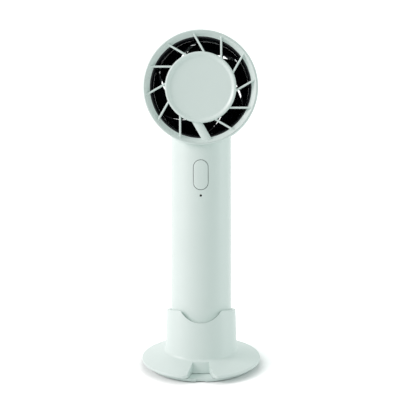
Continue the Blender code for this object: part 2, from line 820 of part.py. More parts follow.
def make_base_weight(lean_axis):
    """Steel weight on the cover that fills the foot round the cup, the screw bosses and the notch."""
    radius = leg_inner - WEIGHT_CLEARANCE
    roof = SKIRT_WALL + WEIGHT_CLEARANCE
    shoulder = FOOT_RADIUS - (weight_top + roof - FOOT_RIM_HEIGHT) / math.tan(SKIRT_ANGLE)
    weight = turned(
        "base_weight",
        [
            (0, weight_bottom),
            (radius, weight_bottom),
            (radius, weight_top),
            (shoulder, weight_top),
            (0, skirt_height(0) - roof),
        ],
        LARGE_STEPS,
        None,
        "dark steel",
    )
    seat = turned(
        "weight_seat",
        [
            (0, core_bottom - GAP),
            (core_radius + WEIGHT_CLEARANCE, core_bottom - GAP),
            (core_radius + WEIGHT_CLEARANCE, cup_rim),
            (0, cup_rim),
        ],
        LARGE_STEPS,
        lean_axis,
    )
    relief = make_notch_cutter("weight_relief", NOTCH_WALL + WEIGHT_CLEARANCE, lean_axis)
    holes = foot_pins("weight_holes", [(FOOT_BOSS_RADIUS + WEIGHT_CLEARANCE, 0, FOOT_RADIUS)])
    combine(weight, "DIFFERENCE", seat, relief, holes)


def make_base_pad():
    turned(
        "base_pad",
        [(0, 0), (pad_radius, 0), (pad_radius, PAD_THICKNESS), (0, PAD_THICKNESS)],
        LARGE_STEPS,
        None,
        "foam rubber",
    )


def screw_profile(radius, length, head_radius, head_height):
    """A pan-head screw that points up its axis, with its head's underside at zero."""
    tip = radius / 2
    return [
        (0, -head_height),
        (head_radius * 3 / 4, -head_height),
        (head_radius, -head_height / 2),
        (head_radius, 0),
        (radius, 0),
        (radius, length - tip),
        (tip, length),
        (0, length),
    ]


def make_base_screws():
    seat = cover_bottom + PAD_THICKNESS - PAD_PROUD + GAP + FOOT_HEAD_HEIGHT - GAP
    profile = screw_profile(
        FOOT_SCREW_RADIUS, FOOT_SCREW_LENGTH, FOOT_HEAD_RADIUS, FOOT_HEAD_HEIGHT / 2
    )
    for number, angle in enumerate(screw_angles(), 1):
        place = (
            foot_screw_circle * math.cos(angle),
            foot_screw_circle * math.sin(angle),
            seat,
        )
        turned(f"base_screw_{number}", profile, SCREW_STEPS, None, "zinc steel", location=place)


# Housing
def head_outline():
    """(radius, depth) of the head's outside, from the back's middle to the front's."""
    back = arc(
        (HEAD_RADIUS - HEAD_BACK_ROUNDING, HEAD_BACK_ROUNDING_DEPTH - HEAD_BACK),
        HEAD_BACK_ROUNDING,
        -QUARTER,
        0,
        depth=HEAD_BACK_ROUNDING_DEPTH,
    )
    front = arc(
        (HEAD_RADIUS - HEAD_FRONT_ROUNDING, HEAD_FRONT - HEAD_FRONT_ROUNDING),
        HEAD_FRONT_ROUNDING,
        0,
        QUARTER,
        2,
    )
    return [(0, -HEAD_BACK), *back, *front, (0, HEAD_FRONT)]


def head_hollow():
    """(radius, depth) of the room in the head, with the rear bore and the front seat."""
    inner_back = HEAD_WALL - HEAD_BACK
    back = arc(
        (HEAD_RADIUS - HEAD_BACK_ROUNDING - HEAD_WALL / 2, HEAD_BACK_ROUNDING + inner_back),
        HEAD_BACK_ROUNDING - HEAD_WALL / 2,
        -QUARTER,
        0,
        2,
        depth=HEAD_BACK_ROUNDING,
    )
    return [
        (0, -HEAD_BACK - OVERRUN),
        (intake_radius, -HEAD_BACK - OVERRUN),
        (intake_radius, inner_back),
        *back,
        (head_bore, head_ledge),
        (ledge_radius, head_ledge),
        (ledge_radius, HEAD_FRONT + OVERRUN),
        (0, HEAD_FRONT + OVERRUN),
    ]


def screw_places():
    """(x, height) of each housing screw."""
    low = [(side * LOW_SCREW_SPREAD, LOW_SCREW_HEIGHT) for side in (-1, 1)]
    return low + [(side * NECK_SCREW_SPREAD, neck_screw_height) for side in (-1, 1)]


def make_inside_features(fan_base, across):
    """Battery saddles and stops, screw pillars and board posts, as one guide."""
    bm = bmesh.new()
    saddle = BATTERY_RADIUS + RIB_CLEARANCE
    middles = [battery_bottom + share * battery_length for share in SADDLE_SHARES]
    ribs = [(middle - RIB_THICKNESS / 2, saddle) for middle in middles]
    ribs += [(low_stop, STOP_OPENING), (high_stop, STOP_OPENING)]
    for bottom, opening in ribs:
        top = bottom + RIB_THICKNESS
        wide = HANDLE_RADIUS - HANDLE_WALL / 2
        profile = [(opening, bottom), (wide, bottom), (wide, top), (opening, top)]
        turn_profile(bm, profile, MEDIUM_STEPS)
    features = solid("inside_ribs", bm, fan_base)

    bm = bmesh.new()
    for x, height in screw_places():
        profile = [
            (0, -HANDLE_RADIUS),
            (PILLAR_RADIUS, -HANDLE_RADIUS),
            (PILLAR_RADIUS, HANDLE_RADIUS),
            (0, HANDLE_RADIUS),
        ]
        turn_profile(bm, profile, SMALL_STEPS, (x, height))
    for height in (control_bottom + POST_INSET, control_top - POST_INSET):
        for side in (-1, 1):
            low = control_front + GAP
            profile = [(0, low), (POST_RADIUS, low), (POST_RADIUS, HANDLE_RADIUS), (0, HANDLE_RADIUS)]
            turn_profile(bm, profile, SCREW_STEPS, (side * POST_SPREAD, height))
    pillars = solid("inside_pillars", bm, across)

    notch = turned(
        "wire_notch",
        [
            (0, low_stop - OVERRUN),
            (WIRE_NOTCH_RADIUS, low_stop - OVERRUN),
            (WIRE_NOTCH_RADIUS, high_stop + RIB_THICKNESS + OVERRUN),
            (0, high_stop + RIB_THICKNESS + OVERRUN),
        ],
        SMALL_STEPS,
        fan_base,
        location=(
            wire_notch_distance * math.cos(WIRE_NOTCH_ANGLE),
            wire_notch_distance * math.sin(WIRE_NOTCH_ANGLE),
            0,
        ),
    )
    combine(features, "DIFFERENCE", notch)
    return features, pillars


def make_housing(fan_base, head_axis, across):
    """Head and handle as one hollow form, split in front and rear halves."""
    form = turned("housing_form", head_outline(), LARGE_STEPS, head_axis)
    handle_top = HEAD_HEIGHT - head_bore + HANDLE_RADIUS / 2
    handle = turned(
        "handle_form",
        [
            (0, housing_bottom),
            (HANDLE_RADIUS, housing_bottom),
            (HANDLE_RADIUS, handle_top),
            (0, handle_top),
        ],
        LARGE_STEPS,
        fan_base,
    )
    trim = HEAD_RADIUS - HANDLE_TRIM
    trimmer = turned(
        "handle_trimmer",
        [(0, -HEAD_RADIUS), (trim, -HEAD_RADIUS), (trim, HEAD_RADIUS), (0, HEAD_RADIUS)],
        LARGE_STEPS,
        head_axis,
    )
    combine(handle, "DIFFERENCE", trimmer)
    hollow = turned("head_hollow", head_hollow(), LARGE_STEPS, head_axis)
    hollow_top = HEAD_HEIGHT - duct_inner_radius
    handle_hollow = turned(
        "handle_hollow",
        [(0, -OVERRUN), (handle_bore, -OVERRUN), (handle_bore, hollow_top), (0, hollow_top)],
        MEDIUM_STEPS,
        fan_base,
    )
    combine(hollow, "UNION", handle_hollow)
    combine(hollow, "DIFFERENCE", *make_inside_features(fan_base, across))

    bm = bmesh.new()
    for x, height in screw_places():
        profile = [
            (0, PILOT_DEPTH),
            (PILOT_RADIUS, PILOT_DEPTH),
            (PILOT_RADIUS, -SCREW_SEAT),
            (COUNTERBORE_RADIUS, -SCREW_SEAT),
            (COUNTERBORE_RADIUS, -HANDLE_RADIUS - OVERRUN),
            (0, -HANDLE_RADIUS - OVERRUN),
        ]
        turn_profile(bm, profile, SMALL_STEPS, (x, height))
    bores = solid("screw_bores", bm, across)
    combine(form, "UNION", handle)
    combine(form, "DIFFERENCE", hollow, bores)

    width = 2 * HEAD_RADIUS + OVERRUN
    tall = HEAD_HEIGHT + 2 * HEAD_RADIUS
    for name, side in (("front_housing", -1), ("rear_housing", 1)):
        deep = HEAD_RADIUS
        centre = (0, side * (deep / 2 + SEAM_GAP / 2), HEAD_HEIGHT / 2)
        half = block(name, (width, deep, tall), centre, fan_base, "white plastic")
        combine(half, "INTERSECT", form)
        if side < 0:
            window = extruded(
                "button_window",
                pill(BUTTON_WIDTH + 2 * BUTTON_GAP, BUTTON_LENGTH + 2 * BUTTON_GAP),
                control_front + SWITCH_HEIGHT,
                HANDLE_RADIUS + OVERRUN,
                across,
                location=(0, button_height, 0),
            )
            radius = PIPE_RADIUS + PIPE_CLEARANCE
            hole = turned(
                "indicator_hole",
                [(0, pipe_step), (radius, pipe_step), (radius, HEAD_RADIUS), (0, HEAD_RADIUS)],
                SCREW_STEPS,
                across,
                location=(0, indicator_height, 0),
            )
            combine(half, "DIFFERENCE", window, hole)


def make_housing_screws(across):
    profile = screw_profile(SCREW_RADIUS, SCREW_LENGTH, SCREW_HEAD_RADIUS, SCREW_HEAD_HEIGHT)
    for number, (x, height) in enumerate(screw_places(), 1):
        turned(
            f"housing_screw_{number}",
            profile,
            SCREW_STEPS,
            across,
            "zinc steel",
            location=(x, height, -SCREW_SEAT - GAP),
        )


def make_end_cap(fan_base):
    """Cap under the handle, with a plug ring that fits the bore and the port's opening."""
    plug = handle_bore - GAP
    top = CAP_THICKNESS + CAP_PLUG_HEIGHT
    cap = turned(
        "end_cap",
        [
            (0, 0),
            (HANDLE_RADIUS - CAP_ROUNDING, 0),
            (HANDLE_RADIUS, CAP_ROUNDING),
            (HANDLE_RADIUS, CAP_THICKNESS),
            (plug, CAP_THICKNESS),
            (plug, top),
            (plug - CAP_PLUG_WALL, top),
            (plug - CAP_PLUG_WALL, CAP_THICKNESS),
            (0, CAP_THICKNESS),
        ],
        LARGE_STEPS,
        fan_base,
        "white plastic",
    )
    opening = extruded(
        "port_opening",
        [(y, x) for x, y in pill(PORT_HEIGHT + 2 * GAP, PORT_WIDTH + 2 * GAP, ARC_STEPS)][::-1],
        -OVERRUN,
        CAP_THICKNESS + OVERRUN,
        fan_base,
    )
    combine(cap, "DIFFERENCE", opening)


def make_port(fan_base):
    """USB-C socket: a stadium tube with a tongue and a closed back."""
    socket = extruded(
        "usb_c_socket",
        [(y, x) for x, y in pill(PORT_HEIGHT, PORT_WIDTH, ARC_STEPS)][::-1],
        PORT_RECESS,
        PORT_RECESS + PORT_LENGTH,
        fan_base,
        "nickel",
    )
    inner_width = PORT_WIDTH - 2 * PORT_WALL
    inner_height = PORT_HEIGHT - 2 * PORT_WALL
    mouth = extruded(
        "port_mouth",
        [(y, x) for x, y in pill(inner_height, inner_width, ARC_STEPS)][::-1],
        PORT_RECESS - OVERRUN,
        PORT_RECESS + PORT_LENGTH - PORT_WALL,
        fan_base,
    )
    tongue = extruded(
        "port_tongue",
        box_outline(inner_width - inner_height, PORT_TONGUE),
        PORT_RECESS + PORT_HEIGHT / 2,
        PORT_RECESS + PORT_LENGTH + OVERRUN,
        fan_base,
    )
    combine(mouth, "DIFFERENCE", tongue)
    combine(socket, "DIFFERENCE", mouth)

    board_y = PORT_HEIGHT / 2 + GAP + BOARD_THICKNESS / 2
    block(
        "charge_board",
        (CHARGE_BOARD_WIDTH, BOARD_THICKNESS, CHARGE_BOARD_LENGTH),
        (0, board_y, board_bottom + CHARGE_BOARD_LENGTH / 2),
        fan_base,
        "board green",
    )
    chip_y = board_y + BOARD_THICKNESS / 2 + GAP + CHARGE_CHIP[1] / 2
    block(
        "charge_chip",
        CHARGE_CHIP,
        (0, chip_y, board_bottom + CHARGE_BOARD_LENGTH * 2 / 3),
        fan_base,
        "chip black",
    )


def make_battery(fan_base):
    radius = BATTERY_RADIUS
    turned(
        "battery_cell",
        [
            (0, battery_bottom),
            (radius - BATTERY_ROUNDING, battery_bottom),
            (radius, battery_bottom + BATTERY_ROUNDING),
            (radius, battery_top - BATTERY_ROUNDING),
            (radius - BATTERY_ROUNDING, battery_top),
            (0, battery_top),
        ],
        MEDIUM_STEPS,
        fan_base,
        "battery wrap",
    )
    for name, bottom in (
        ("battery_tab_bottom", battery_bottom - GAP - TAB_THICKNESS),
        ("battery_tab_top", battery_top + GAP),
    ):
        top = bottom + TAB_THICKNESS
        turned(
            name,
            [(0, bottom), (TAB_RADIUS, bottom), (TAB_RADIUS, top), (0, top)],
            SMALL_STEPS,
            fan_base,
            "nickel",
        )


def make_control_board(across):
    """Board behind the button, with its switch, driver chip and indicator LED."""
    middle = (control_bottom + control_top) / 2
    block(
        "control_board",
        (CONTROL_BOARD_WIDTH, CONTROL_BOARD_LENGTH, BOARD_THICKNESS),
        (0, middle, control_front - BOARD_THICKNESS / 2),
        across,
        "board green",
    )
    block(
        "motor_chip",
        MOTOR_CHIP,
        (0, middle, control_back - GAP - MOTOR_CHIP[2] / 2),
        across,
        "chip black",
    )
    block(
        "indicator_led",
        LED_SIZE,
        (0, indicator_height, control_front + GAP + LED_SIZE[2] / 2),
        across,
        "smoked lens",
    )
    switch = block(
        "tact_switch",
        (SWITCH_SIDE, SWITCH_SIDE, SWITCH_HEIGHT),
        (0, button_height, switch_back + SWITCH_HEIGHT / 2),
        across,
        "chip black",
    )
    pocket_radius = PLUNGER_RADIUS + GAP
    pocket_floor = switch_front - PLUNGER_DEPTH - PLUNGER_PROUD - GAP
    pocket = turned(
        "switch_pocket",
        [
            (0, pocket_floor),
            (pocket_radius, pocket_floor),
            (pocket_radius, switch_front + OVERRUN),
            (0, switch_front + OVERRUN),
        ],
        SMALL_STEPS,
        across,
        location=(0, button_height, 0),
    )
    combine(switch, "DIFFERENCE", pocket)

    pipe_back = control_front + GAP + LED_SIZE[2] + GAP
    pipe_front = HANDLE_RADIUS - PIPE_RECESS
    turned(
        "light_pipe",
        [
            (0, pipe_back),
            (PIPE_FOOT_RADIUS, pipe_back),
            (PIPE_FOOT_RADIUS, pipe_step),
            (PIPE_RADIUS, pipe_step),
            (PIPE_RADIUS, pipe_front),
            (0, pipe_front),
        ],
        SCREW_STEPS,
        across,
        "smoked lens",
        location=(0, indicator_height, 0),
    )


def make_button(fan_base, button_axis):
    """Button cap with a retaining flange and a stem. Its face follows the handle."""
    cap = extruded(
        "power_button",
        pill(BUTTON_WIDTH, BUTTON_LENGTH),
        button_flange_front - GAP,
        HANDLE_RADIUS + OVERRUN,
        button_axis,
        "white plastic",
    )
    radius = HANDLE_RADIUS
    handle = turned(
        "button_face",
        [(0, 0), (radius, 0), (radius, HEAD_HEIGHT), (0, HEAD_HEIGHT)],
        LARGE_STEPS,
        fan_base,
    )
    flange = extruded(
        "button_flange",
        pill(BUTTON_WIDTH + 2 * BUTTON_FLANGE, BUTTON_LENGTH + 2 * BUTTON_FLANGE),
        flange_back,
        button_flange_front,
        button_axis,
    )
    stem_back = plunger_front + GAP
    stem_front = button_flange_front - 2 * GAP
    stem = turned(
        "button_stem",
        [
            (0, stem_back),
            (BUTTON_STEM_RADIUS, stem_back),
            (BUTTON_STEM_RADIUS, stem_front),
            (0, stem_front),
        ],
        SMALL_STEPS,
        button_axis,
    )
    combine(cap, "INTERSECT", handle)
    combine(cap, "UNION", flange, stem)
    back = switch_front - PLUNGER_DEPTH
    turned(
        "switch_plunger",
        [(0, back), (PLUNGER_RADIUS, back), (PLUNGER_RADIUS, plunger_front), (0, plunger_front)],
        SMALL_STEPS,
        button_axis,
        "chip black",
    )


# Front grille
def spoke_heading(number):
    """Unit vectors along a spoke and across it, seen from the front."""
    heading = SPOKE_FIRST + TURN * number / SPOKE_COUNT
    along = Vector((math.sin(heading), math.cos(heading), 0))
    across = Vector((math.cos(heading), -math.sin(heading), 0))
    return along, across


def spoke_point(number, run, side, depth):
    along, across = spoke_heading(number)
    return run * along + (SPOKE_OFFSET + side) * across + Vector((0, 0, depth))


def spoke_run(radius, side=0):
    """Distance along a spoke, or beside it, at which it reaches a radius."""
    return math.sqrt(radius**2 - (SPOKE_OFFSET + side) ** 2)


def spoke_section(number):
    """(side, depth) outline of a spoke and how far in it starts."""
    if number == WIDE_SPOKE:
        crown = arc(
            (0, wide_front - WIDE_SPOKE_SHOULDER),
            WIDE_SPOKE_WIDTH / 2,
            0,
            2 * QUARTER,
            depth=WIDE_SPOKE_SHOULDER,
            steps=6,
        )
        half = WIDE_SPOKE_WIDTH / 2
        return [*crown, (-half, spoke_back), (half, spoke_back)], WIDE_SPOKE_ROOT
    half = SPOKE_THICKNESS / 2
    inner = half - SPOKE_CHAMFER
    section = [
        (half, spoke_back),
        (half, spoke_front - SPOKE_CHAMFER),
        (inner, spoke_front),
        (-inner, spoke_front),
        (-half, spoke_front - SPOKE_CHAMFER),
        (-half, spoke_back),
    ]
    return section, SPOKE_ROOT


def make_front_grille(head_axis):
    """Funnel ring, swirled spokes and dished disc in one moulding."""
    edge = grille_front - GRILLE_EDGE / 4
    grille = turned(
        "front_grille",
        [
            (grille_radius, ring_back),
            (grille_radius, edge),
            (grille_radius - FUNNEL_LAND, grille_front),
            (funnel_inner_radius, funnel_bottom),
            (funnel_inner_radius, funnel_bottom - GRILLE_EDGE),
            (head_bore - 2 * GAP, funnel_bottom - GRILLE_EDGE),
            (head_bore - 2 * GAP, ring_back),
        ],
        LARGE_STEPS,
        head_axis,
        "white plastic",
    )
    rim = arc(
        (DISC_RADIUS - DISC_ROUNDING, grille_front - DISC_ROUNDING),
        DISC_ROUNDING,
        QUARTER,
        0,
        3,
    )
    disc = turned(
        "grille_disc",
        [
            (0, disc_floor),
            (disc_flat_radius, disc_floor),
            *rim,
            (DISC_RADIUS, skirt_back),
            (DISC_RADIUS - DISC_WALL, skirt_back),
            (DISC_RADIUS - DISC_WALL, disc_back),
            (boss_radius, disc_back),
            (boss_radius, skirt_back),
            (boss_bore, skirt_back),
            (boss_bore, tube_front + GAP),
            (0, tube_front + GAP),
        ],
        LARGE_STEPS,
        head_axis,
    )
    bm = bmesh.new()
    for number in range(SPOKE_COUNT):
        section, root = spoke_section(number)
        start = spoke_run(DISC_RADIUS - root)
        end = spoke_run(funnel_inner_radius + SPOKE_RUN_OUT)
        rings = [
            [spoke_point(number, run, side, depth) for side, depth in section]
            for run in (start, end)
        ]
        loft(bm, rings)
    spokes = solid("spokes", bm, head_axis)
    low_reach = head_bore - 3 * GAP
    high_reach = grille_radius - FUNNEL_LAND
    reach = turned(
        "spoke_reach",
        [
            (0, spoke_back - OVERRUN),
            (low_reach, spoke_back - OVERRUN),
            (low_reach, ring_back + GAP),
            (high_reach, ring_back + GAP),
            (high_reach, grille_front),
            (0, grille_front),
        ],
        LARGE_STEPS,
        head_axis,
    )
    combine(spokes, "INTERSECT", reach)
    half = CHANNEL_WIDTH / 2
    low = skirt_back - OVERRUN
    section = [(half, low), (half, channel_top), (-half, channel_top), (-half, low)]
    runs = (spoke_run(MOTOR_BOARD_RADIUS), spoke_run(HEAD_RADIUS))
    bm = bmesh.new()
    loft(bm, [[spoke_point(WIDE_SPOKE, run, side, depth) for side, depth in section] for run in runs])
    channel = solid("wire_channel", bm, head_axis)
    combine(grille, "UNION", disc, spokes)
    combine(grille, "DIFFERENCE", channel)


def make_rear_grille(head_axis):
    """Intake plate with two rings of swirled openings."""
    back = GAP - HEAD_BACK
    grille = turned(
        "rear_grille",
        [
            (0, back),
            (intake_outer - INTAKE_EDGE / 2, back),
            (intake_outer, back + INTAKE_DOME),
            (intake_outer, intake_front),
            (0, intake_front),
        ],
        LARGE_STEPS,
        head_axis,
        "white plastic",
    )
    rings = (
        (INTAKE_HUB_RADIUS, intake_ring_radius),
        (intake_ring_radius + INTAKE_RING_WIDTH, intake_reach),
    )
    bm = bmesh.new()
    for low, high in rings:
        for number in range(INTAKE_COUNT):
            outline = intake_opening(number, low, high)
            extrude_outline(bm, outline, -HEAD_BACK - OVERRUN, intake_front + OVERRUN)
    combine(grille, "DIFFERENCE", solid("intake_openings", bm, head_axis))


def intake_opening(number, low, high):
    """The space between two swirled bars, from one radius to another."""
    heading = TURN * number / INTAKE_COUNT
    pitch = TURN / INTAKE_COUNT

    def side(radius, offset, turn):
        return turn + math.asin(offset / radius)

    near = INTAKE_OFFSET + INTAKE_BAR / 2
    far = INTAKE_OFFSET - INTAKE_BAR / 2
    ends = []
    for radius in (low, high):
        start = side(radius, near, heading)
        end = side(radius, far, heading + pitch)
        turns = [start + (end - start) * step / 2 for step in range(3)]
        ends.append([(radius * math.sin(turn), radius * math.cos(turn)) for turn in turns])
    return ends[0] + ends[1][::-1]


def make_air_duct(head_axis):
    """Black duct round the impeller, with a flared mouth and a locating flange."""
    flange_front = duct_front - DUCT_MOUTH_DEPTH / 2
    flange = head_bore - GAP
    duct = turned(
        "air_duct",
        [
            (duct_mouth_radius, duct_front),
            (duct_inner_radius, duct_front - DUCT_MOUTH_DEPTH),
            (duct_inner_radius, duct_back + DUCT_MOUTH_DEPTH),
            (duct_mouth_radius, duct_back),
            (duct_outer_radius, duct_back),
            (duct_outer_radius, flange_front - DUCT_FLANGE),
            (flange, flange_front - DUCT_FLANGE),
            (flange, flange_front),
            (duct_outer_radius, flange_front),
            (duct_outer_radius, duct_front),
        ],
        LARGE_STEPS,
        head_axis,
        "black plastic",
    )
    half = FLANGE_NOTCH_WIDTH / 2
    bm = bmesh.new()
    section = [(half, 0), (half, head_ledge), (-half, head_ledge), (-half, 0)]
    runs = (spoke_run(duct_inner_radius), spoke_run(HEAD_RADIUS))
    loft(bm, [[spoke_point(WIDE_SPOKE, run, side, depth) for side, depth in section] for run in runs])
    notch = solid("flange_notch", bm, head_axis)
    radius = duct_outer_radius + GAP / 3
    body = turned(
        "duct_body",
        [(0, -HEAD_RADIUS), (radius, -HEAD_RADIUS), (radius, HEAD_RADIUS), (0, HEAD_RADIUS)],
        LARGE_STEPS,
        head_axis,
    )
    combine(notch, "DIFFERENCE", body)
    combine(duct, "DIFFERENCE", notch)


# Motor
def ring_profile(inner, outer, low, high):
    return [(inner, low), (outer, low), (outer, high), (inner, high)]


def make_motor(head_axis):
    """The fixed half of the motor, carried by the grille's disc."""
    turned(
        "bearing_tube",
        ring_profile(tube_bore, TUBE_RADIUS, tube_back, tube_front),
        SMALL_STEPS,
        head_axis,
        "brass",
    )
    for name, land in zip(("front_bearing", "rear_bearing"), BEARING_LANDS):
        high = tube_front - land
        turned(
            name,
            ring_profile(SHAFT_RADIUS + GAP, bearing_radius, high - BEARING_HEIGHT, high),
            SMALL_STEPS,
            head_axis,
            "zinc steel",
        )
    turned(
        "motor_board",
        ring_profile(boss_radius + GAP, MOTOR_BOARD_RADIUS, motor_board_back, motor_board_top),
        MEDIUM_STEPS,
        head_axis,
        "board green",
    )
    outline = [point for number in range(POLE_COUNT) for point in pole_outline(number)]
    core = extruded("stator_core", outline, stator_back, STATOR_FRONT, head_axis, "laminations")
    bore = turned(
        "stator_bore",
        [
            (0, stator_back - OVERRUN),
            (TUBE_RADIUS + GAP, stator_back - OVERRUN),
            (TUBE_RADIUS + GAP, STATOR_FRONT + OVERRUN),
            (0, STATOR_FRONT + OVERRUN),
        ],
        SMALL_STEPS,
        head_axis,
    )
    combine(core, "DIFFERENCE", bore)
    for number in range(POLE_COUNT):
        make_coil(number, head_axis)


def pole_outline(number):
    """One pole's part of the core's outline: a neck, a curved shoe and the ring beside it."""
    pitch = TURN / POLE_COUNT
    turn = pitch * number
    spread = pitch * SHOE_SHARE / 2
    inner = STATOR_RADIUS - SHOE_DEPTH
    half = POLE_WIDTH / 2
    root = math.asin(half / STATOR_CORE_RADIUS)
    side = [
        (STATOR_CORE_RADIUS * math.cos(root), -half),
        (inner * math.cos(spread), -half),
        (inner * math.cos(spread), -inner * math.sin(spread)),
    ]
    shoe = arc((0, 0), STATOR_RADIUS, -spread, spread)
    outline = side + shoe + [(x, -y) for x, y in reversed(side)]
    outline += arc((0, 0), STATOR_CORE_RADIUS, root, pitch - root, 2)[1:-1]
    cosine = math.cos(turn)
    sine = math.sin(turn)
    return [(x * cosine - y * sine, x * sine + y * cosine) for x, y in outline]


def make_coil(number, head_axis):
    """Winding round one pole's neck."""
    turn = TURN * number / POLE_COUNT
    shoe = (STATOR_RADIUS - SHOE_DEPTH) * math.cos(TURN / POLE_COUNT * SHOE_SHARE / 2)
    outside = shoe - GAP
    length = outside - STATOR_CORE_RADIUS - GAP
    width = POLE_WIDTH + 2 * GAP
    height = STATOR_HEIGHT + 2 * GAP
    middle = (STATOR_FRONT + stator_back) / 2
    place = {"location": (0, 0, middle), "rotation": (0, QUARTER, turn)}
    coil = extruded(
        f"stator_coil_{number + 1}",
        box_outline(height + 2 * COIL_WALL, width + 2 * COIL_WALL),
        outside - length,
        outside,
        head_axis,
        "copper wire",
        **place,
    )
    window = extruded(
        f"coil_window_{number + 1}",
        box_outline(height, width),
        outside - length - OVERRUN,
        outside + OVERRUN,
        head_axis,
        **place,
    )
    combine(coil, "DIFFERENCE", window)


def make_rotor(rotor_axis):
    """What turns with the impeller: can, magnet ring, shaft and its clip."""
    hole = HUB_BOSS_RADIUS + GAP
    turned(
        "rotor_can",
        [
            (hole, can_back),
            (can_outer, can_back),
            (can_outer, can_front),
            (can_inner, can_front),
            (can_inner, can_back + CAN_WALL),
            (hole, can_back + CAN_WALL),
        ],
        MEDIUM_STEPS,
        rotor_axis,
        "zinc steel",
    )
    turned(
        "magnet_ring",
        ring_profile(magnet_inner, magnet_outer, magnet_front - MAGNET_HEIGHT, magnet_front),
        MEDIUM_STEPS,
        rotor_axis,
        "magnet",
    )
    turned(
        "motor_shaft",
        [(0, shaft_back), (SHAFT_RADIUS, shaft_back), (SHAFT_RADIUS, shaft_front), (0, shaft_front)],
        SCREW_STEPS,
        rotor_axis,
        "zinc steel",
    )
    high = shaft_front - CLIP_HEIGHT / 2
    turned(
        "shaft_clip",
        ring_profile(SHAFT_RADIUS + GAP, CLIP_RADIUS, high - CLIP_HEIGHT, high),
        SCREW_STEPS,
        rotor_axis,
        "dark steel",
    )


# Impeller
def blade_place(turn, radius, share):
    """A point on a blade's middle surface: share 0 is its front edge, 1 its back edge."""
    out = (radius - hub_radius) / (blade_tip - hub_radius)
    chord = BLADE_ROOT_TURN + (BLADE_TIP_TURN - BLADE_ROOT_TURN) * out
    angle = turn + BLADE_SWEEP * out - chord * max(share, 0) ** BLADE_CAMBER
    return Vector(
        (radius * math.sin(angle), radius * math.cos(angle), BLADE_FRONT - BLADE_DEPTH * share)
    )


def blade_section(turn, radius):
    """Closed outline of a blade at one radius, thickest in the middle."""
    front = []
    back = []
    step = 1 / (8 * BLADE_CHORD_STEPS)
    for number in range(BLADE_CHORD_STEPS + 1):
        share = number / BLADE_CHORD_STEPS
        low = max(share - step, 0)
        high = min(share + step, 1)
        along = blade_place(turn, radius, high) - blade_place(turn, radius, low)
        outward = blade_place(turn, radius + BLADE_ROOT, share) - blade_place(turn, radius, share)
        normal = along.cross(outward).normalized()
        fullness = BLADE_EDGE_SHARE + (1 - BLADE_EDGE_SHARE) * math.sin(math.pi * share)
        shift = normal * BLADE_THICKNESS * fullness / 2
        middle = blade_place(turn, radius, share)
        front.append(middle + shift)
        back.append(middle - shift)
    return front + back[::-1]


def make_impeller(rotor_axis):
    """Hub with a rounded nose, open at the front for the motor, and swept, twisted blades."""
    nose = arc((0, hub_side_back), hub_radius, -QUARTER, 0, 6, depth=HUB_NOSE)
    inner_nose = arc(
        (0, can_back - GAP), hub_inner, 0, -math.radians(75), 5, depth=HUB_NOSE - HUB_NOSE_WALL
    )
    bore = SHAFT_RADIUS + GAP
    bore_floor = shaft_back - GAP
    hub = turned(
        "impeller",
        [
            *nose,
            (hub_radius, HUB_FRONT),
            (hub_inner, HUB_FRONT),
            *inner_nose,
            (HUB_BOSS_RADIUS, inner_nose[-1][1]),
            (HUB_BOSS_RADIUS, boss_front),
            (bore, boss_front),
            (bore, bore_floor),
            (0, bore_floor),
        ],
        LARGE_STEPS * 5 // 7,
        rotor_axis,
        "blade plastic",
    )
    bm = bmesh.new()
    root = hub_radius - BLADE_ROOT
    for number in range(BLADE_COUNT):
        turn = BLADE_FIRST + TURN * number / BLADE_COUNT
        radii = [
            root + (blade_tip - root) * station / (BLADE_STATIONS - 1)
            for station in range(BLADE_STATIONS)
        ]
        loft(bm, [blade_section(turn, radius) for radius in radii])
    combine(hub, "UNION", solid("blades", bm, rotor_axis))


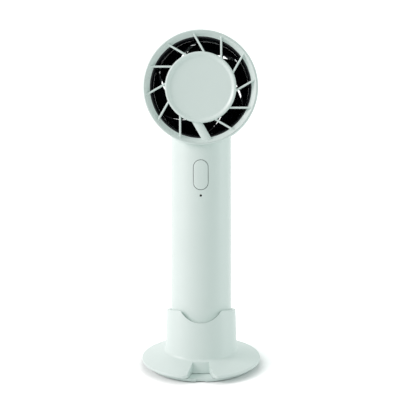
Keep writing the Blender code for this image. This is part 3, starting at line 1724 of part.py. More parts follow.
# Leads
def make_leads(fan_base, head_axis):
    """The held wires: motor leads in the wide spoke, power leads beside the battery."""
    colours = ("red lead", "black lead")
    in_channel = (motor_board_top + motor_board_back) / 2
    in_gap = (duct_outer_radius + head_bore) / 2
    crossing = spoke_point(WIDE_SPOKE, spoke_run(in_gap), 0, 0)
    neck_depth = math.sqrt(handle_bore**2 - crossing.x**2)
    bend = min(duct_front, neck_depth) - MOTOR_LEAD_INSET
    places = (
        (MOTOR_BOARD_RADIUS + LEAD_END, in_channel),
        ((DISC_RADIUS + funnel_inner_radius) / 2, in_channel),
        (funnel_inner_radius, in_channel),
        (in_gap, duct_front),
        (in_gap, bend + LEAD_BEND / 2),
        (in_gap + LEAD_END, bend),
        (in_gap + LEAD_BEND, bend - LEAD_BEND / 2),
    )
    board_middle = control_back + BOARD_THICKNESS / 2
    board_edge = control_top - HEAD_HEIGHT + LEAD_END
    for number, side in enumerate((-LEAD_SPACING / 2, LEAD_SPACING / 2), 1):
        route = [
            spoke_point(WIDE_SPOKE, spoke_run(radius, side), side, depth)
            for radius, depth in places
        ]
        x = MOTOR_LEAD_SIDE - side
        route.append(Vector((x, board_edge + LEAD_BEND, board_middle)))
        route.append(Vector((x, board_edge, board_middle)))
        lead(f"motor_lead_{number}", route, colours[number - 1], head_axis)

    notch = Vector((math.cos(WIRE_NOTCH_ANGLE), math.sin(WIRE_NOTCH_ANGLE), 0))
    notch *= wire_notch_distance
    sideways = Vector((-notch.y, notch.x, 0)).normalized() * LEAD_SPACING / 2
    board_y = PORT_HEIGHT / 2 + GAP + BOARD_THICKNESS / 2
    behind = -control_back + LEAD_END
    for number, side in enumerate((-1, 1), 1):
        beside = notch + side * sideways
        under = beside + Vector((0, 0, board_top + LEAD_END))
        start = Vector((side * CHARGE_BOARD_WIDTH / 4, board_y, board_top + LEAD_END))
        end = Vector((beside.x / 2, behind, control_bottom + number * LEAD_BEND * 2))
        turn = Vector((beside.x, behind + LEAD_BEND, end.z - LEAD_BEND))
        route = [
            start,
            start + Vector((0, 0, LEAD_END)),
            start.lerp(under, 2 / 5) + Vector((0, 0, LEAD_END)),
            start.lerp(under, 4 / 5) + Vector((0, 0, LEAD_END)),
            beside + Vector((0, 0, low_stop + RIB_THICKNESS / 2)),
            beside + Vector((0, 0, battery_bottom)),
            beside + Vector((0, 0, battery_top)),
            beside + Vector((0, 0, high_stop + RIB_THICKNESS)),
            turn,
            end + Vector((0, LEAD_BEND, 0)),
            end,
        ]
        lead(f"power_lead_{number}", route, colours[number - 1], fan_base)

    tab = battery_top + 2 * GAP + TAB_THICKNESS + LEAD_RADIUS
    end = Vector((BATTERY_LEAD_SIDE, behind, control_bottom + LEAD_BEND))
    route = [
        Vector((0, 0, tab)),
        Vector((BATTERY_LEAD_SIDE / 2, -STOP_OPENING / 3, tab + RIB_THICKNESS / 2)),
        Vector((BATTERY_LEAD_SIDE, -STOP_OPENING / 2, high_stop + RIB_THICKNESS)),
        end + Vector((0, LEAD_BEND, 0)),
        end,
    ]
    lead("battery_lead", route, "red lead", fan_base)


def main():
    for old in list(bpy.data.objects):
        bpy.data.objects.remove(old, do_unlink=True)
    lean_axis = empty("lean_axis", tilt=-LEAN)
    fan_base = empty("fan_base", lean_axis, (0, 0, fan_bottom))
    across = empty("front_facing", fan_base, tilt=QUARTER)
    head_axis = empty("head_axis", fan_base, (0, 0, HEAD_HEIGHT), QUARTER)
    rotor_axis = empty("rotor_axis", head_axis)
    button_axis = empty("button_axis", fan_base, (0, 0, button_height), QUARTER)

    make_base_shell(lean_axis)
    make_base_cover()
    make_base_weight(lean_axis)
    make_base_pad()
    make_base_screws()
    make_housing(fan_base, head_axis, across)
    make_housing_screws(across)
    make_end_cap(fan_base)
    make_port(fan_base)
    make_battery(fan_base)
    make_control_board(across)
    make_button(fan_base, button_axis)
    make_front_grille(head_axis)
    make_rear_grille(head_axis)
    make_air_duct(head_axis)
    make_motor(head_axis)
    make_rotor(rotor_axis)
    make_impeller(rotor_axis)
    make_leads(fan_base, head_axis)


main()
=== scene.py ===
"""Portable fan that leans back in the cup of its round foot: finished pieces, materials, light and camera.

Lengths are in metres and +Z is up. The origin is on the floor at the centre of the foot, and the
front looks along -Y.
"""

import json
import math

import bmesh
import bpy
from bpy.props import FloatProperty, FloatVectorProperty, IntProperty, PointerProperty
from mathutils import Matrix, Vector


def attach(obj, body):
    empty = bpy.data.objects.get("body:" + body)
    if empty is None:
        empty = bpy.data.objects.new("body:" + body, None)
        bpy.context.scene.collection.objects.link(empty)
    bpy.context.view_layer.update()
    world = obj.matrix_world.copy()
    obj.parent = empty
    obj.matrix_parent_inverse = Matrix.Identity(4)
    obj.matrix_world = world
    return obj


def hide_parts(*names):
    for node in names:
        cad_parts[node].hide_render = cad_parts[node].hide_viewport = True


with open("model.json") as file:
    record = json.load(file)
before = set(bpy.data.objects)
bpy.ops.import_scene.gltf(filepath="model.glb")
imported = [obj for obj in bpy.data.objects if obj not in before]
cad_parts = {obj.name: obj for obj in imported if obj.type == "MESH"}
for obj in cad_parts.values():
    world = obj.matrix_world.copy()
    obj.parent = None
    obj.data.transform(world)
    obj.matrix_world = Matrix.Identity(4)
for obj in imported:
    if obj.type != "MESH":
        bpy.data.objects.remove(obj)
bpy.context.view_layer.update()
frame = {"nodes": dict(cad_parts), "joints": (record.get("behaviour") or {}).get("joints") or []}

bl_info = {
    "name": "Portable fan on its stand",
    "version": (1, 0, 0),
    "blender": (4, 5, 0),
    "location": "3D View > Sidebar > Portable fan",
    "description": "Makes the finished pieces of the fan and its stand, their materials, light and camera",
    "category": "Object",
}

joints = {joint["name"]: joint for joint in frame["joints"]}

TURN = math.radians(360)
QUARTER = math.radians(90)
GAP = 0.0003  # between pieces that touch
OVERRUN = 0.002  # how far a cutter reaches past what it cuts
WELD = 0.000001
LARGE = 180  # steps round the head, the handle and the foot
SMALL = 32  # steps round a screw or a pin

# Axes of the fan and its cup
up = Vector(joints["fan_lift"]["axis"]).normalized()
front = Vector(joints["rotor_spin"]["axis"]).normalized()
centre = Vector(joints["rotor_spin"]["pos_m"])

# Heights along the handle, from its lower end
HEAD_HEIGHT = 0.1573
HOUSING_BOTTOM = 0.0026
BUTTON_HEIGHT = 0.1041
INDICATOR_HEIGHT = 0.0915
HANDLE_RADIUS = 0.0185
HANDLE_WALL = 0.0020

# Stand
COVER_BOTTOM = 0.0005
COVER_TOP = 0.0022
LEG_BOTTOM = 0.0025
LIP_BOTTOM = 0.0033
FOOT_RADIUS = 0.0363
FOOT_RIM_HEIGHT = 0.0051
SKIRT_ANGLE = math.radians(15)
SKIRT_WALL = 0.0017
LEG_RADIUS = 0.0325
LEG_INNER = 0.0307
CUP_RADIUS = 0.02125
CUP_FOOT_RADIUS = 0.0219
CUP_BORE = 0.01885
CUP_CORE = 0.02085
CUP_DEPTH = 0.0215
CUP_FLOOR_WALL = 0.0016
SCREW_CIRCLE = 0.0262

# Head, as depths in front of the handle's axis
HEAD_RADIUS = 0.0350
HEAD_BORE = 0.0330
HEAD_FRONT = 0.0210
HEAD_BACK = 0.0185
HEAD_LEDGE = 0.0170
LEDGE_RADIUS = 0.0341
GRILLE_RADIUS = 0.03405
GRILLE_FRONT = 0.0209
FUNNEL_RADIUS = 0.0309
FUNNEL_BOTTOM = 0.0179
SPOKE_BACK = 0.0165
SPOKE_OFFSET = 0.0125
DISC_BACK = 0.0178
SKIRT_BACK = 0.0154
TUBE_FRONT = 0.0172
BOSS_BORE = 0.0049
BOSS_RADIUS = 0.0068
DUCT_FRONT = 0.0162
DUCT_BACK = -0.0123
DUCT_RADIUS = 0.0292
INTAKE_RADIUS = 0.0280
HUB_RADIUS = 0.0199
HUB_INNER = 0.0185
HUB_FRONT = 0.0134
HUB_SIDE_BACK = -0.0005
HUB_NOSE = 0.0080
CAN_BACK = 0.0003
BLADE_FRONT = 0.0124
BLADE_DEPTH = 0.0200
BLADE_TIP = 0.0286

cup_floor = up.dot(centre) - HEAD_HEIGHT - GAP
cup_rim = cup_floor + CUP_DEPTH


def axes(x, y, z, place):
    """The matrix that takes a piece's own axes to these, at a place."""
    turn = Matrix((x, y, z)).transposed().to_4x4()
    return Matrix.Translation(place) @ turn


side = Vector((1, 0, 0))
cup_place = axes(side, -front, up, Vector((0, 0, 0)))
fan_place = axes(side, -front, up, centre - HEAD_HEIGHT * up)
across_place = axes(side, up, front, centre - HEAD_HEIGHT * up)
head_place = axes(side, up, front, centre)
button_place = across_place @ Matrix.Translation((0, BUTTON_HEIGHT, 0))
pipe_place = across_place @ Matrix.Translation((0, INDICATOR_HEIGHT, 0))
level = Matrix.Identity(4)


def length_property(name, description, default):
    return FloatProperty(name=name, description=description, default=default, unit="LENGTH")


def angle_property(name, description, degrees):
    return FloatProperty(name=name, description=description, default=math.radians(degrees), subtype="ANGLE")


def colour_property(name, description, default):
    return FloatVectorProperty(
        name=name, description=description, default=default, subtype="COLOR", min=0, max=1
    )


class FanSizes(bpy.types.PropertyGroup):
    """Sizes of the finished pieces."""

    spoke_width: length_property("Spoke width", "Width of a thin spoke of the front grille", 0.0012)
    wide_spoke_width: length_property("Wide spoke", "Width of the spoke that hides the wires", 0.0054)
    disc_dish: length_property("Disc dish", "Depth of the grille's disc below its rim", 0.0012)
    edge_rounding: length_property("Edge rounding", "Radius of the moulded edges", 0.0004)
    button_crown: length_property("Button crown", "How far the button's edge is rounded", 0.00035)
    blade_count: IntProperty(name="Blades", description="Blades on the impeller", default=6, min=3, max=12)
    blade_width: length_property("Blade thickness", "Thickness in the middle of a blade", 0.0012)
    blade_first: angle_property("Blade turn", "Turn of the first blade, clockwise from up", 15.5)
    blade_sweep: angle_property("Blade sweep", "Turn of a blade's front edge from hub to tip", 42)
    blade_opening: angle_property("Blade opening", "Gap between two blades at the hub, from the front", 5.5)


class FanColours(bpy.types.PropertyGroup):
    """Colours of the finishes."""

    shell: colour_property("Shell", "Moulded white plastic", (0.700, 0.800, 0.768))
    duct: colour_property("Duct", "Black plastic of the air duct", (0.0035, 0.0045, 0.006))
    blade: colour_property("Blades", "Glossy black plastic of the impeller", (0.003, 0.0035, 0.006))
    lens: colour_property("Lens", "Smoked lens of the indicator", (0.006, 0.007, 0.007))
    rubber: colour_property("Rubber", "Foam rubber of the pad", (0.035, 0.036, 0.037))
    steel: colour_property("Steel", "Zinc-plated steel", (0.60, 0.61, 0.62))
    board: colour_property("Board", "Solder mask of the circuit boards", (0.012, 0.12, 0.05))
    wrap: colour_property("Wrap", "Shrink wrap of the battery", (0.06, 0.22, 0.50))
    copper: colour_property("Copper", "Enamelled copper wire", (0.62, 0.27, 0.11))
    floor: colour_property("Floor", "Floor of the stage", (0.94, 0.95, 0.95))


# Materials
WHITE = (1.0, 1.0, 1.0)
BLACK = (0.0, 0.0, 0.0)
NICKEL = (0.66, 0.64, 0.60)
BRASS = (0.70, 0.50, 0.20)
RED = (0.50, 0.02, 0.02)
DARK = (0.02, 0.02, 0.022)
FINE_GRAIN = 0.00001  # depth of the grain in plastic, rolled steel and insulation
SHEET_PITCH = 0.00035  # of the stator's sheets
WIRE_PITCH = 0.00034  # of the coils' turns
CELL_MIDDLE = 0.0532
CELL_HALF_LENGTH = 0.0325


def with_other(operation, reflected=False):
    """A method that works out an operation on its own value and another, the other first if reflected."""

    def method(self, other):
        values = (other, self) if reflected else (self, other)
        return self.math(operation, *values)

    return method


class Sum:
    """A shader value that can be added, multiplied and compared like a number."""

    def __init__(self, paint, socket):
        self.paint = paint
        self.socket = socket

    def math(self, operation, *values):
        return self.paint.node("ShaderNodeMath", {"operation": operation}, dict(enumerate(values)))

    __add__ = with_other("ADD")
    __radd__ = with_other("ADD", reflected=True)
    __sub__ = with_other("SUBTRACT")
    __rsub__ = with_other("SUBTRACT", reflected=True)
    __mul__ = with_other("MULTIPLY")
    __rmul__ = with_other("MULTIPLY", reflected=True)
    __truediv__ = with_other("DIVIDE")
    __rtruediv__ = with_other("DIVIDE", reflected=True)
    __gt__ = with_other("GREATER_THAN")
    __lt__ = with_other("LESS_THAN")
    __pow__ = with_other("POWER")
    larger = with_other("MAXIMUM")

    def sine(self):
        return self.math("SINE", self)

    def fraction(self):
        return self.math("FRACT", self)

    def size(self):
        return self.math("ABSOLUTE", self)


class Paint:
    """One material, or the world, and the nodes that are added to it."""

    def __init__(self, name, world=None):
        self.material = world or bpy.data.materials.new(name)
        self.material.use_nodes = True
        self.tree = self.material.node_tree
        self.shader = self.tree.nodes["Background" if world else "Principled BSDF"]
        self.place = self.node("ShaderNodeTexCoord", output="Object")

    def node(self, kind, settings=None, values=None, output=0):
        """A new node's output. The settings are set first, then the values or links of its sockets."""
        made = self.tree.nodes.new(kind)
        for name, value in (settings or {}).items():
            setattr(made, name, value)
        for name, value in (values or {}).items():
            self.link(made.inputs[name], value)
        return Sum(self, made.outputs[output])

    def link(self, socket, value):
        if isinstance(value, Sum):
            self.tree.links.new(value.socket, socket)
        elif socket.type == "RGBA" and len(value) == 3:
            socket.default_value = (*value, 1)
        else:
            socket.default_value = value

    def fixed(self, **values):
        """Numbers that are the same all over the surface."""
        for name, value in values.items():
            self.shader.inputs[name.replace("_", " ").title().replace("Ior", "IOR")].default_value = value

    def finish(self, colour, roughness, normal=None, metallic=None):
        self.link(self.shader.inputs["Base Color"], colour)
        self.link(self.shader.inputs["Roughness"], roughness)
        if normal is not None:
            self.link(self.shader.inputs["Normal"], normal)
        if metallic is not None:
            self.link(self.shader.inputs["Metallic"], metallic)
        return self.material

    def noise(self, scale, detail, stretch=None):
        place = self.place
        if stretch:
            place = self.node("ShaderNodeMapping", None, {"Vector": place, "Scale": stretch})
        values = {"Vector": place, "Scale": scale, "Detail": detail}
        return self.node("ShaderNodeTexNoise", None, values, output="Fac")

    def cells(self, values):
        """The distance from the middle of the nearest cell."""
        values = {"Vector": self.place, **values}
        return self.node("ShaderNodeTexVoronoi", {"feature": "F1"}, values, output="Distance")

    def mix(self, factor, low, high):
        """A colour between two. Sockets 6, 7 and output 2 are the Mix node's colours."""
        values = {"Factor": factor, 6: low, 7: high}
        return self.node("ShaderNodeMix", {"data_type": "RGBA"}, values, output=2)

    def shades(self, factor, colour, low, high):
        return self.mix(factor, tinted(colour, low), tinted(colour, high))

    def bump(self, height, depth, strength):
        return self.node("ShaderNodeBump", None, {"Height": height, "Distance": depth, "Strength": strength})

    def plain_sight(self):
        """One for rays from the camera, metal or glass, and zero for the light that falls on a surface."""
        outputs = self.node("ShaderNodeLightPath").socket.node.outputs
        kinds = ("Is Camera Ray", "Is Glossy Ray", "Is Transmission Ray")
        camera, glossy, clear = (Sum(self, outputs[kind]) for kind in kinds)
        return camera.larger(glossy.larger(clear))

    def across(self, place):
        """This surface's coordinates in a piece's own axes, as three values."""
        away = {0: self.place, 1: place.translation}
        offset = self.node("ShaderNodeVectorMath", {"operation": "SUBTRACT"}, away)
        dot = {"operation": "DOT_PRODUCT"}
        rows = [Vector(row[:3]) for row in place.inverted()][:3]
        return [self.node("ShaderNodeVectorMath", dot, {0: offset, 1: row}, output="Value") for row in rows]

    def round(self, place):
        """This surface's distance from a piece's own axis, and its height along that axis."""
        x, y, z = self.across(place)
        return (x * x + y * y) ** 0.5, z


def tinted(colour, factor):
    return tuple(min(part * factor, 1) for part in colour)


def shell_plastic(name, colour, roughness=0.36):
    """Moulded plastic with a fine eroded grain, faint clouding and a slightly uneven gloss."""
    paint = Paint(name)
    cloud = paint.noise(38, 3)
    grain = paint.noise(4200, 2)
    tone = paint.shades(cloud, colour, 0.972, 1.028)
    gloss = roughness + 0.10 * (cloud - 0.5) + 0.05 * (grain - 0.5)
    return paint.finish(tone, gloss, paint.bump(grain, FINE_GRAIN, 0.35))


def black_plastic(name, colour, roughness, gloss):
    """Glossy black moulding with faint flow lines round the head's axis."""
    paint = Paint(name)
    radius, _ = paint.round(head_place)
    flow = paint.noise(700, 2)
    lines = (radius * 9000 + flow * 3).sine()
    dust = paint.noise(2600, 3)
    tone = paint.shades(dust, colour, 0.6, 2.2)
    paint.fixed(specular_ior_level=gloss)
    uneven = roughness + 0.04 * lines * flow + 0.06 * (dust - 0.5)
    return paint.finish(tone, uneven, paint.bump(lines, 0.000002, 0.3))


def smoked_lens(name, colour):
    """Dark clear plastic, faintly cloudy."""
    paint = Paint(name)
    cloud = paint.noise(900, 2)
    return paint.finish(paint.mix(cloud, colour, tinted(colour, 2.5)), 0.08 + 0.08 * cloud)


def foam_rubber(name, colour):
    """Closed-cell foam: small pits all over."""
    paint = Paint(name)
    cells = paint.cells({"Scale": 2600})
    cloud = paint.noise(300, 3)
    tone = paint.shades(cells, colour, 0.7, 1.7)
    return paint.finish(tone, 0.82 + 0.12 * cloud, paint.bump(cells, 0.00008, 0.8))


def turned_metal(name, colour, place, roughness=0.28, pitch=6000):
    """Metal with fine tool marks round its axis and a few brighter rubbed places."""
    paint = Paint(name)
    radius, height = paint.round(place)
    marks = ((radius + height) * pitch + paint.noise(1800, 2) * 2).sine()
    rubbed = paint.noise(450, 3)
    tone = paint.shades(rubbed, colour, 0.78, 1.12)
    paint.fixed(metallic=1.0)
    uneven = roughness + 0.05 * marks + 0.14 * (rubbed - 0.5)
    return paint.finish(tone, uneven, paint.bump(marks, 0.000004, 0.5))


def rolled_steel(name, colour):
    """Cut plate with the grain of rolling and a light film of oil."""
    paint = Paint(name)
    grain = paint.noise(900, 3, stretch=(1, 12, 1))
    stain = paint.noise(90, 4)
    tone = paint.shades(stain, colour, 0.45, 0.75)
    paint.fixed(metallic=1.0)
    return paint.finish(tone, 0.35 + 0.25 * grain, paint.bump(grain, FINE_GRAIN, 0.5))


def stacked_sheets(name):
    """Silicon-steel sheets, a third of a millimetre each, with their insulating film between."""
    paint = Paint(name)
    height = paint.across(head_place)[2]
    sheet = (height / SHEET_PITCH).fraction()
    seam = (sheet - 0.5).size() > 0.40
    rust = paint.noise(1500, 3)
    steel = paint.mix(rust, (0.30, 0.30, 0.31), (0.42, 0.40, 0.38))
    tone = paint.mix(seam, steel, (0.05, 0.05, 0.06))
    paint.fixed(metallic=1.0)
    return paint.finish(tone, 0.38 + 0.2 * seam, paint.bump(1 - seam, 0.00004, 0.6))


def wound_copper(name, colour):
    """Turns of enamelled wire round a pole, side by side, with painted shade in the grooves between turns
    and a painted highlight on their crowns.
    """
    paint = Paint(name)
    radius, height = paint.round(head_place)
    turns = (radius * (TURN / WIRE_PITCH) + height * 160).sine()
    cloud = paint.noise(1300, 2)
    # Painted shade between the turns and painted highlight on their crowns; the same turns also give the
    # bump.
    tone = paint.shades(0.5 + 0.5 * turns, colour, 0.35, 1.15)
    paint.fixed(metallic=0.85, coat_weight=0.4, coat_roughness=0.15)
    return paint.finish(tone, 0.25 + 0.12 * cloud, paint.bump(turns, 0.00006, 0.9))


def ferrite(name):
    """Pressed magnet: dark grey, with small chips and pores."""
    paint = Paint(name)
    pores = paint.noise(5200, 4)
    cloud = paint.noise(420, 3)
    tone = paint.mix(cloud, (0.035, 0.032, 0.030), (0.085, 0.080, 0.074))
    return paint.finish(tone, 0.62 + 0.2 * pores, paint.bump(pores, 0.00002, 0.7))


def circuit_board(name, colour, place):
    """Solder mask over a pattern of tracks, with bare gold pads."""
    paint = Paint(name)
    x, y, _ = paint.across(place)
    track = (((x + y) * 620).fraction() - 0.5).size() < 0.11
    bus = ((y * 410).fraction() - 0.5).size() < 0.08
    lines = track.larger(bus)
    pads = paint.cells({"Scale": 430, "Randomness": 0.25}) < 0.17
    mask = paint.mix(lines, colour, tinted(colour, 2.1))
    tone = paint.mix(pads, mask, (0.80, 0.58, 0.25))
    gloss = 0.32 + 0.1 * paint.noise(900, 2) - 0.06 * pads
    return paint.finish(tone, gloss, paint.bump(lines + pads, 0.00003, 0.6), pads * 0.9)


def chip_plastic(name):
    """Matt black moulding compound."""
    paint = Paint(name)
    grain = paint.noise(3800, 3)
    tone = paint.mix(grain, (0.016, 0.016, 0.017), (0.036, 0.036, 0.038))
    return paint.finish(tone, 0.45 + 0.2 * grain, paint.bump(grain, FINE_GRAIN, 0.6))


def shrink_wrap(name, colour):
    """Thin glossy film, drawn tight, with small wrinkles towards both ends of the cell."""
    paint = Paint(name)
    x, y, z = paint.across(fan_place @ Matrix.Translation((0, 0, CELL_MIDDLE)))
    turn = x.math("ARCTAN2", y, x)
    end = (z.size() / CELL_HALF_LENGTH) ** 8
    wrinkle = (turn * 40 + paint.noise(220, 3) * 8).sine() * end
    cloud = paint.noise(160, 3)
    tone = paint.shades(cloud, colour, 0.85, 1.15)
    return paint.finish(tone, 0.22 + 0.12 * cloud, paint.bump(wrinkle, 0.00008, 0.7))


def wire_insulation(name, colour):
    """Soft extruded plastic, a little uneven."""
    paint = Paint(name)
    cloud = paint.noise(1500, 3)
    tone = paint.shades(cloud, colour, 0.7, 1.25)
    return paint.finish(tone, 0.30 + 0.2 * cloud, paint.bump(cloud, FINE_GRAIN, 0.5))


# Shapes
FLAT = 0.9999  # least cosine between faces of one plane
SLIVER = 0.00002  # longest edge that counts as none
SHARP_EDGE = math.radians(50)
SHADED_EDGE = math.radians(32)


def profile_chain(bm, profile):
    points = [bm.verts.new((radius, 0, height)) for radius, height in profile]
    pairs = list(zip(points, points[1:]))
    if profile[0][0] > 0 or profile[-1][0] > 0:
        pairs.append((points[-1], points[0]))
    return points + [bm.edges.new(pair) for pair in pairs]


def add_turned(bm, profile, steps, middle=(0, 0)):
    """Spins (radius, height) points about Z. A chain from axis to axis is open, any other closes."""
    made = profile_chain(bm, profile)
    before = set(bm.verts) - set(made)
    bmesh.ops.spin(
        bm, geom=made, cent=(0, 0, 0), dvec=(0, 0, 0), axis=(0, 0, 1), angle=TURN, steps=steps,
        use_merge=True, use_duplicate=False,
    )
    bmesh.ops.translate(bm, verts=[vert for vert in bm.verts if vert not in before], vec=(*middle, 0))


def add_prism(bm, outline, low, high):
    """A prism along Z from a closed (x, y) outline."""
    face = bm.faces.new([bm.verts.new((x, y, low)) for x, y in outline])
    raised = bmesh.ops.extrude_face_region(bm, geom=[face])["geom"]
    corners = [item for item in raised if isinstance(item, bmesh.types.BMVert)]
    bmesh.ops.translate(bm, verts=corners, vec=(0, 0, high - low))


def add_loft(bm, rings):
    """A skin through rings of as many points each, closed at both ends."""
    points = [bm.verts.new(point) for point in rings[0]]
    edges = [bm.edges.new(pair) for pair in zip(points, points[1:] + points[:1])]
    bmesh.ops.edgeloop_fill(bm, edges=edges)
    for ring in rings[1:]:
        raised = set(bmesh.ops.extrude_edge_only(bm, edges=edges)["geom"])
        points = [
            next(edge.other_vert(point) for edge in point.link_edges if edge.other_vert(point) in raised)
            for point in points
        ]
        edges = [bm.edges.get(pair) for pair in zip(points, points[1:] + points[:1])]
        for point, place in zip(points, ring):
            point.co = place
    bmesh.ops.edgeloop_fill(bm, edges=edges)


def arc(middle, radius, start, end, steps, depth=None):
    """Points along part of a circle, or of an ellipse where a depth is given."""
    second = radius if depth is None else depth
    angles = [start + (end - start) * step / steps for step in range(steps + 1)]
    return [(middle[0] + radius * math.cos(a), middle[1] + second * math.sin(a)) for a in angles]


def circle(radius, height):
    angles = [TURN * step / LARGE for step in range(LARGE)]
    return [(radius * math.cos(a), radius * math.sin(a), height) for a in angles]


def rod(radius, low, high):
    """The profile of a plain solid cylinder."""
    return [(0, low), (radius, low), (radius, high), (0, high)]


def pill(width, length, steps=24):
    reach = (length - width) / 2
    top = arc((0, reach), width / 2, 0, 2 * QUARTER, steps)
    return top + arc((0, -reach), width / 2, 2 * QUARTER, TURN, steps)


def is_flat_hub(vert):
    """Whether a point is only the middle of a flat disc of slices."""
    faces = vert.link_faces
    return len(faces) > 6 and all(face.normal.dot(faces[0].normal) > FLAT for face in faces)


def new_object(name, data):
    made = bpy.data.objects.new(name, data)
    bpy.context.scene.collection.objects.link(made)
    return made


def form(bm, place):
    """A closed shape in the row frame, from a bmesh in a piece's own axes."""
    bmesh.ops.remove_doubles(bm, verts=bm.verts, dist=WELD)
    bmesh.ops.recalc_face_normals(bm, faces=bm.faces)
    bmesh.ops.dissolve_verts(bm, verts=[vert for vert in bm.verts if is_flat_hub(vert)])
    bmesh.ops.transform(bm, matrix=place, verts=bm.verts)
    mesh = bpy.data.meshes.new("form")
    bm.to_mesh(mesh)
    bm.free()
    return new_object("form", mesh)


def turned(profile, place, steps=LARGE, middle=(0, 0)):
    bm = bmesh.new()
    add_turned(bm, profile, steps, middle)
    return form(bm, place)


def pins(profile, middles, place):
    """The same turned pin at several places."""
    bm = bmesh.new()
    for middle in middles:
        add_turned(bm, profile, SMALL, middle)
    return form(bm, place)


def prism(outline, low, high, place):
    bm = bmesh.new()
    add_prism(bm, outline, low, high)
    return form(bm, place)


def block(size, middle, place):
    bm = bmesh.new()
    bmesh.ops.create_cube(bm, size=1)
    bmesh.ops.scale(bm, verts=bm.verts, vec=size)
    bmesh.ops.translate(bm, verts=bm.verts, vec=middle)
    return form(bm, place)


def carve(target, keep=(), join=(), cut=()):
    """Keeps what lies in some shapes, joins others, cuts others out, and removes all that it used."""
    steps = [("INTERSECT", other) for other in keep]
    steps += [("UNION", other) for other in join]
    steps += [("DIFFERENCE", other) for other in cut]
    for operation, other in steps:
        step = target.modifiers.new(operation, "BOOLEAN")
        step.operation = operation
        step.solver = "EXACT"
        step.object = other
        weld = target.modifiers.new("weld", "WELD")
        weld.merge_threshold = WELD
    shown = target.evaluated_get(bpy.context.evaluated_depsgraph_get())
    mesh = bpy.data.meshes.new_from_object(shown)
    target.modifiers.clear()
    old = target.data
    target.data = mesh
    bpy.data.meshes.remove(old)
    for operation, other in steps:
        bpy.data.meshes.remove(other.data)
    return target


def soften(target, width):
    """Rounds the sharp edges of a shape."""
    bm = bmesh.new()
    bm.from_mesh(target.data)
    bmesh.ops.dissolve_degenerate(bm, edges=bm.edges, dist=SLIVER)
    sharp = [edge for edge in bm.edges if len(edge.link_faces) == 2 and edge.calc_face_angle() > SHARP_EDGE]
    bmesh.ops.bevel(
        bm, geom=sharp, offset=width, offset_type="OFFSET", affect="EDGES", segments=2,
        profile=0.5, material=-1, clamp_overlap=True, loop_slide=True,
    )
    bmesh.ops.remove_doubles(bm, verts=bm.verts, dist=WELD)
    bm.to_mesh(target.data)
    bm.free()


def piece(made, name, paint, body, node):
    """Names a shape as a finished piece that stands for a CAD node."""
    made.name = name
    made.data.name = name
    made.data.materials.clear()
    made.data.materials.append(paint)
    made.data.shade_smooth()
    made.data.set_sharp_from_angle(angle=SHADED_EDGE)
    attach(made, body)
    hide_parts(node)


# Stand
NOTCH_HALF_WIDTH = 0.0051
NOTCH_FLARE = math.radians(15)
NOTCH_CORNER = 0.0030
NOTCH_BACK_CLEARANCE = 0.0013  # from the cup's outside to the notch's back wall
NOTCH_WALL = 0.0016
SCALLOP_RADIUS = 0.0140
SCALLOP_CORNER = 0.0015
SCALLOP_DEPTH = 0.0074
FOOT_FILLET = 0.0022
FOOT_EDGE = 0.0005
CUP_MOUTH = 0.0005
FOOT_SCREWS = 3
SCREW_BOSS_RADIUS = 0.0025
SCREW_PILOT_RADIUS = 0.00115
SCREW_PILOT_TOP = 0.0059
SCREW_HEAD_RADIUS = 0.0020
SCREW_HEAD_DEPTH = 0.0007
COVER_RECESS = 0.0006
COVER_RECESS_RADIUS = 0.0308
COVER_EDGE = 0.0004
SLOT_WIDTH = 0.0058
SLOT_DEPTH = 0.0028


def cup_point(radius, angle, height):
    return cup_place @ Vector((radius * math.cos(angle), radius * math.sin(angle), height))


def skirt_height(radius):
    return FOOT_RIM_HEIGHT + (FOOT_RADIUS - radius) * math.tan(SKIRT_ANGLE)


def fillet_section(angle, fillet, steps):
    """Where a ball between the cup and the skirt touches both, as an arc up from the skirt."""
    low = 0.0
    high = cup_rim
    while high - low > WELD:
        middle = (low + high) / 2
        ball = cup_point(CUP_FOOT_RADIUS + fillet, angle, middle)
        if ball.z - skirt_height(math.hypot(ball.x, ball.y)) > fillet / math.cos(SKIRT_ANGLE):
            high = middle
        else:
            low = middle
    outward = math.atan2(ball.y, ball.x)
    flat = math.sin(SKIRT_ANGLE)
    to_skirt = -Vector((flat * math.cos(outward), flat * math.sin(outward), math.cos(SKIRT_ANGLE)))
    to_cup = (cup_point(CUP_FOOT_RADIUS, angle, middle) - ball).normalized()
    return [ball + fillet * to_skirt.slerp(to_cup, step / steps) for step in range(steps + 1)]


def notch_outline(extra):
    """The foot's notch seen from above: straight flaring sides that round into the rim."""
    half = NOTCH_HALF_WIDTH + extra / math.cos(NOTCH_FLARE)
    start = Vector((half, -CUP_FOOT_RADIUS))
    along = Vector((math.sin(NOTCH_FLARE), -math.cos(NOTCH_FLARE)))
    outward = Vector((math.cos(NOTCH_FLARE), math.sin(NOTCH_FLARE)))
    corner = NOTCH_CORNER - extra
    middle = start + corner * outward
    forward = middle.dot(along)
    run = -forward + math.sqrt(forward**2 - middle.length_squared + (FOOT_RADIUS - NOTCH_CORNER) ** 2)
    hub = middle + run * along
    first = math.atan2(-outward.y, -outward.x)
    last = math.atan2(hub.y, hub.x)
    half_outline = [(half - along.x * CUP_BORE, -CUP_FOOT_RADIUS - along.y * CUP_BORE)]
    half_outline += arc(hub, corner, first + TURN, last + TURN, 10)
    half_outline.append(tuple(Vector(half_outline[-1]) + OVERRUN * 2 * hub.normalized()))
    return half_outline + [(-x, y) for x, y in reversed(half_outline)]


def notch_form(extra):
    """What is cut out for the notch, wider on each side by a wall where one is left round it."""
    cutter = prism(notch_outline(extra), -OVERRUN, skirt_height(0), level)
    back = CUP_FOOT_RADIUS + NOTCH_BACK_CLEARANCE - extra
    return carve(cutter, cut=[turned(rod(back, -cup_rim, cup_rim), cup_place)])


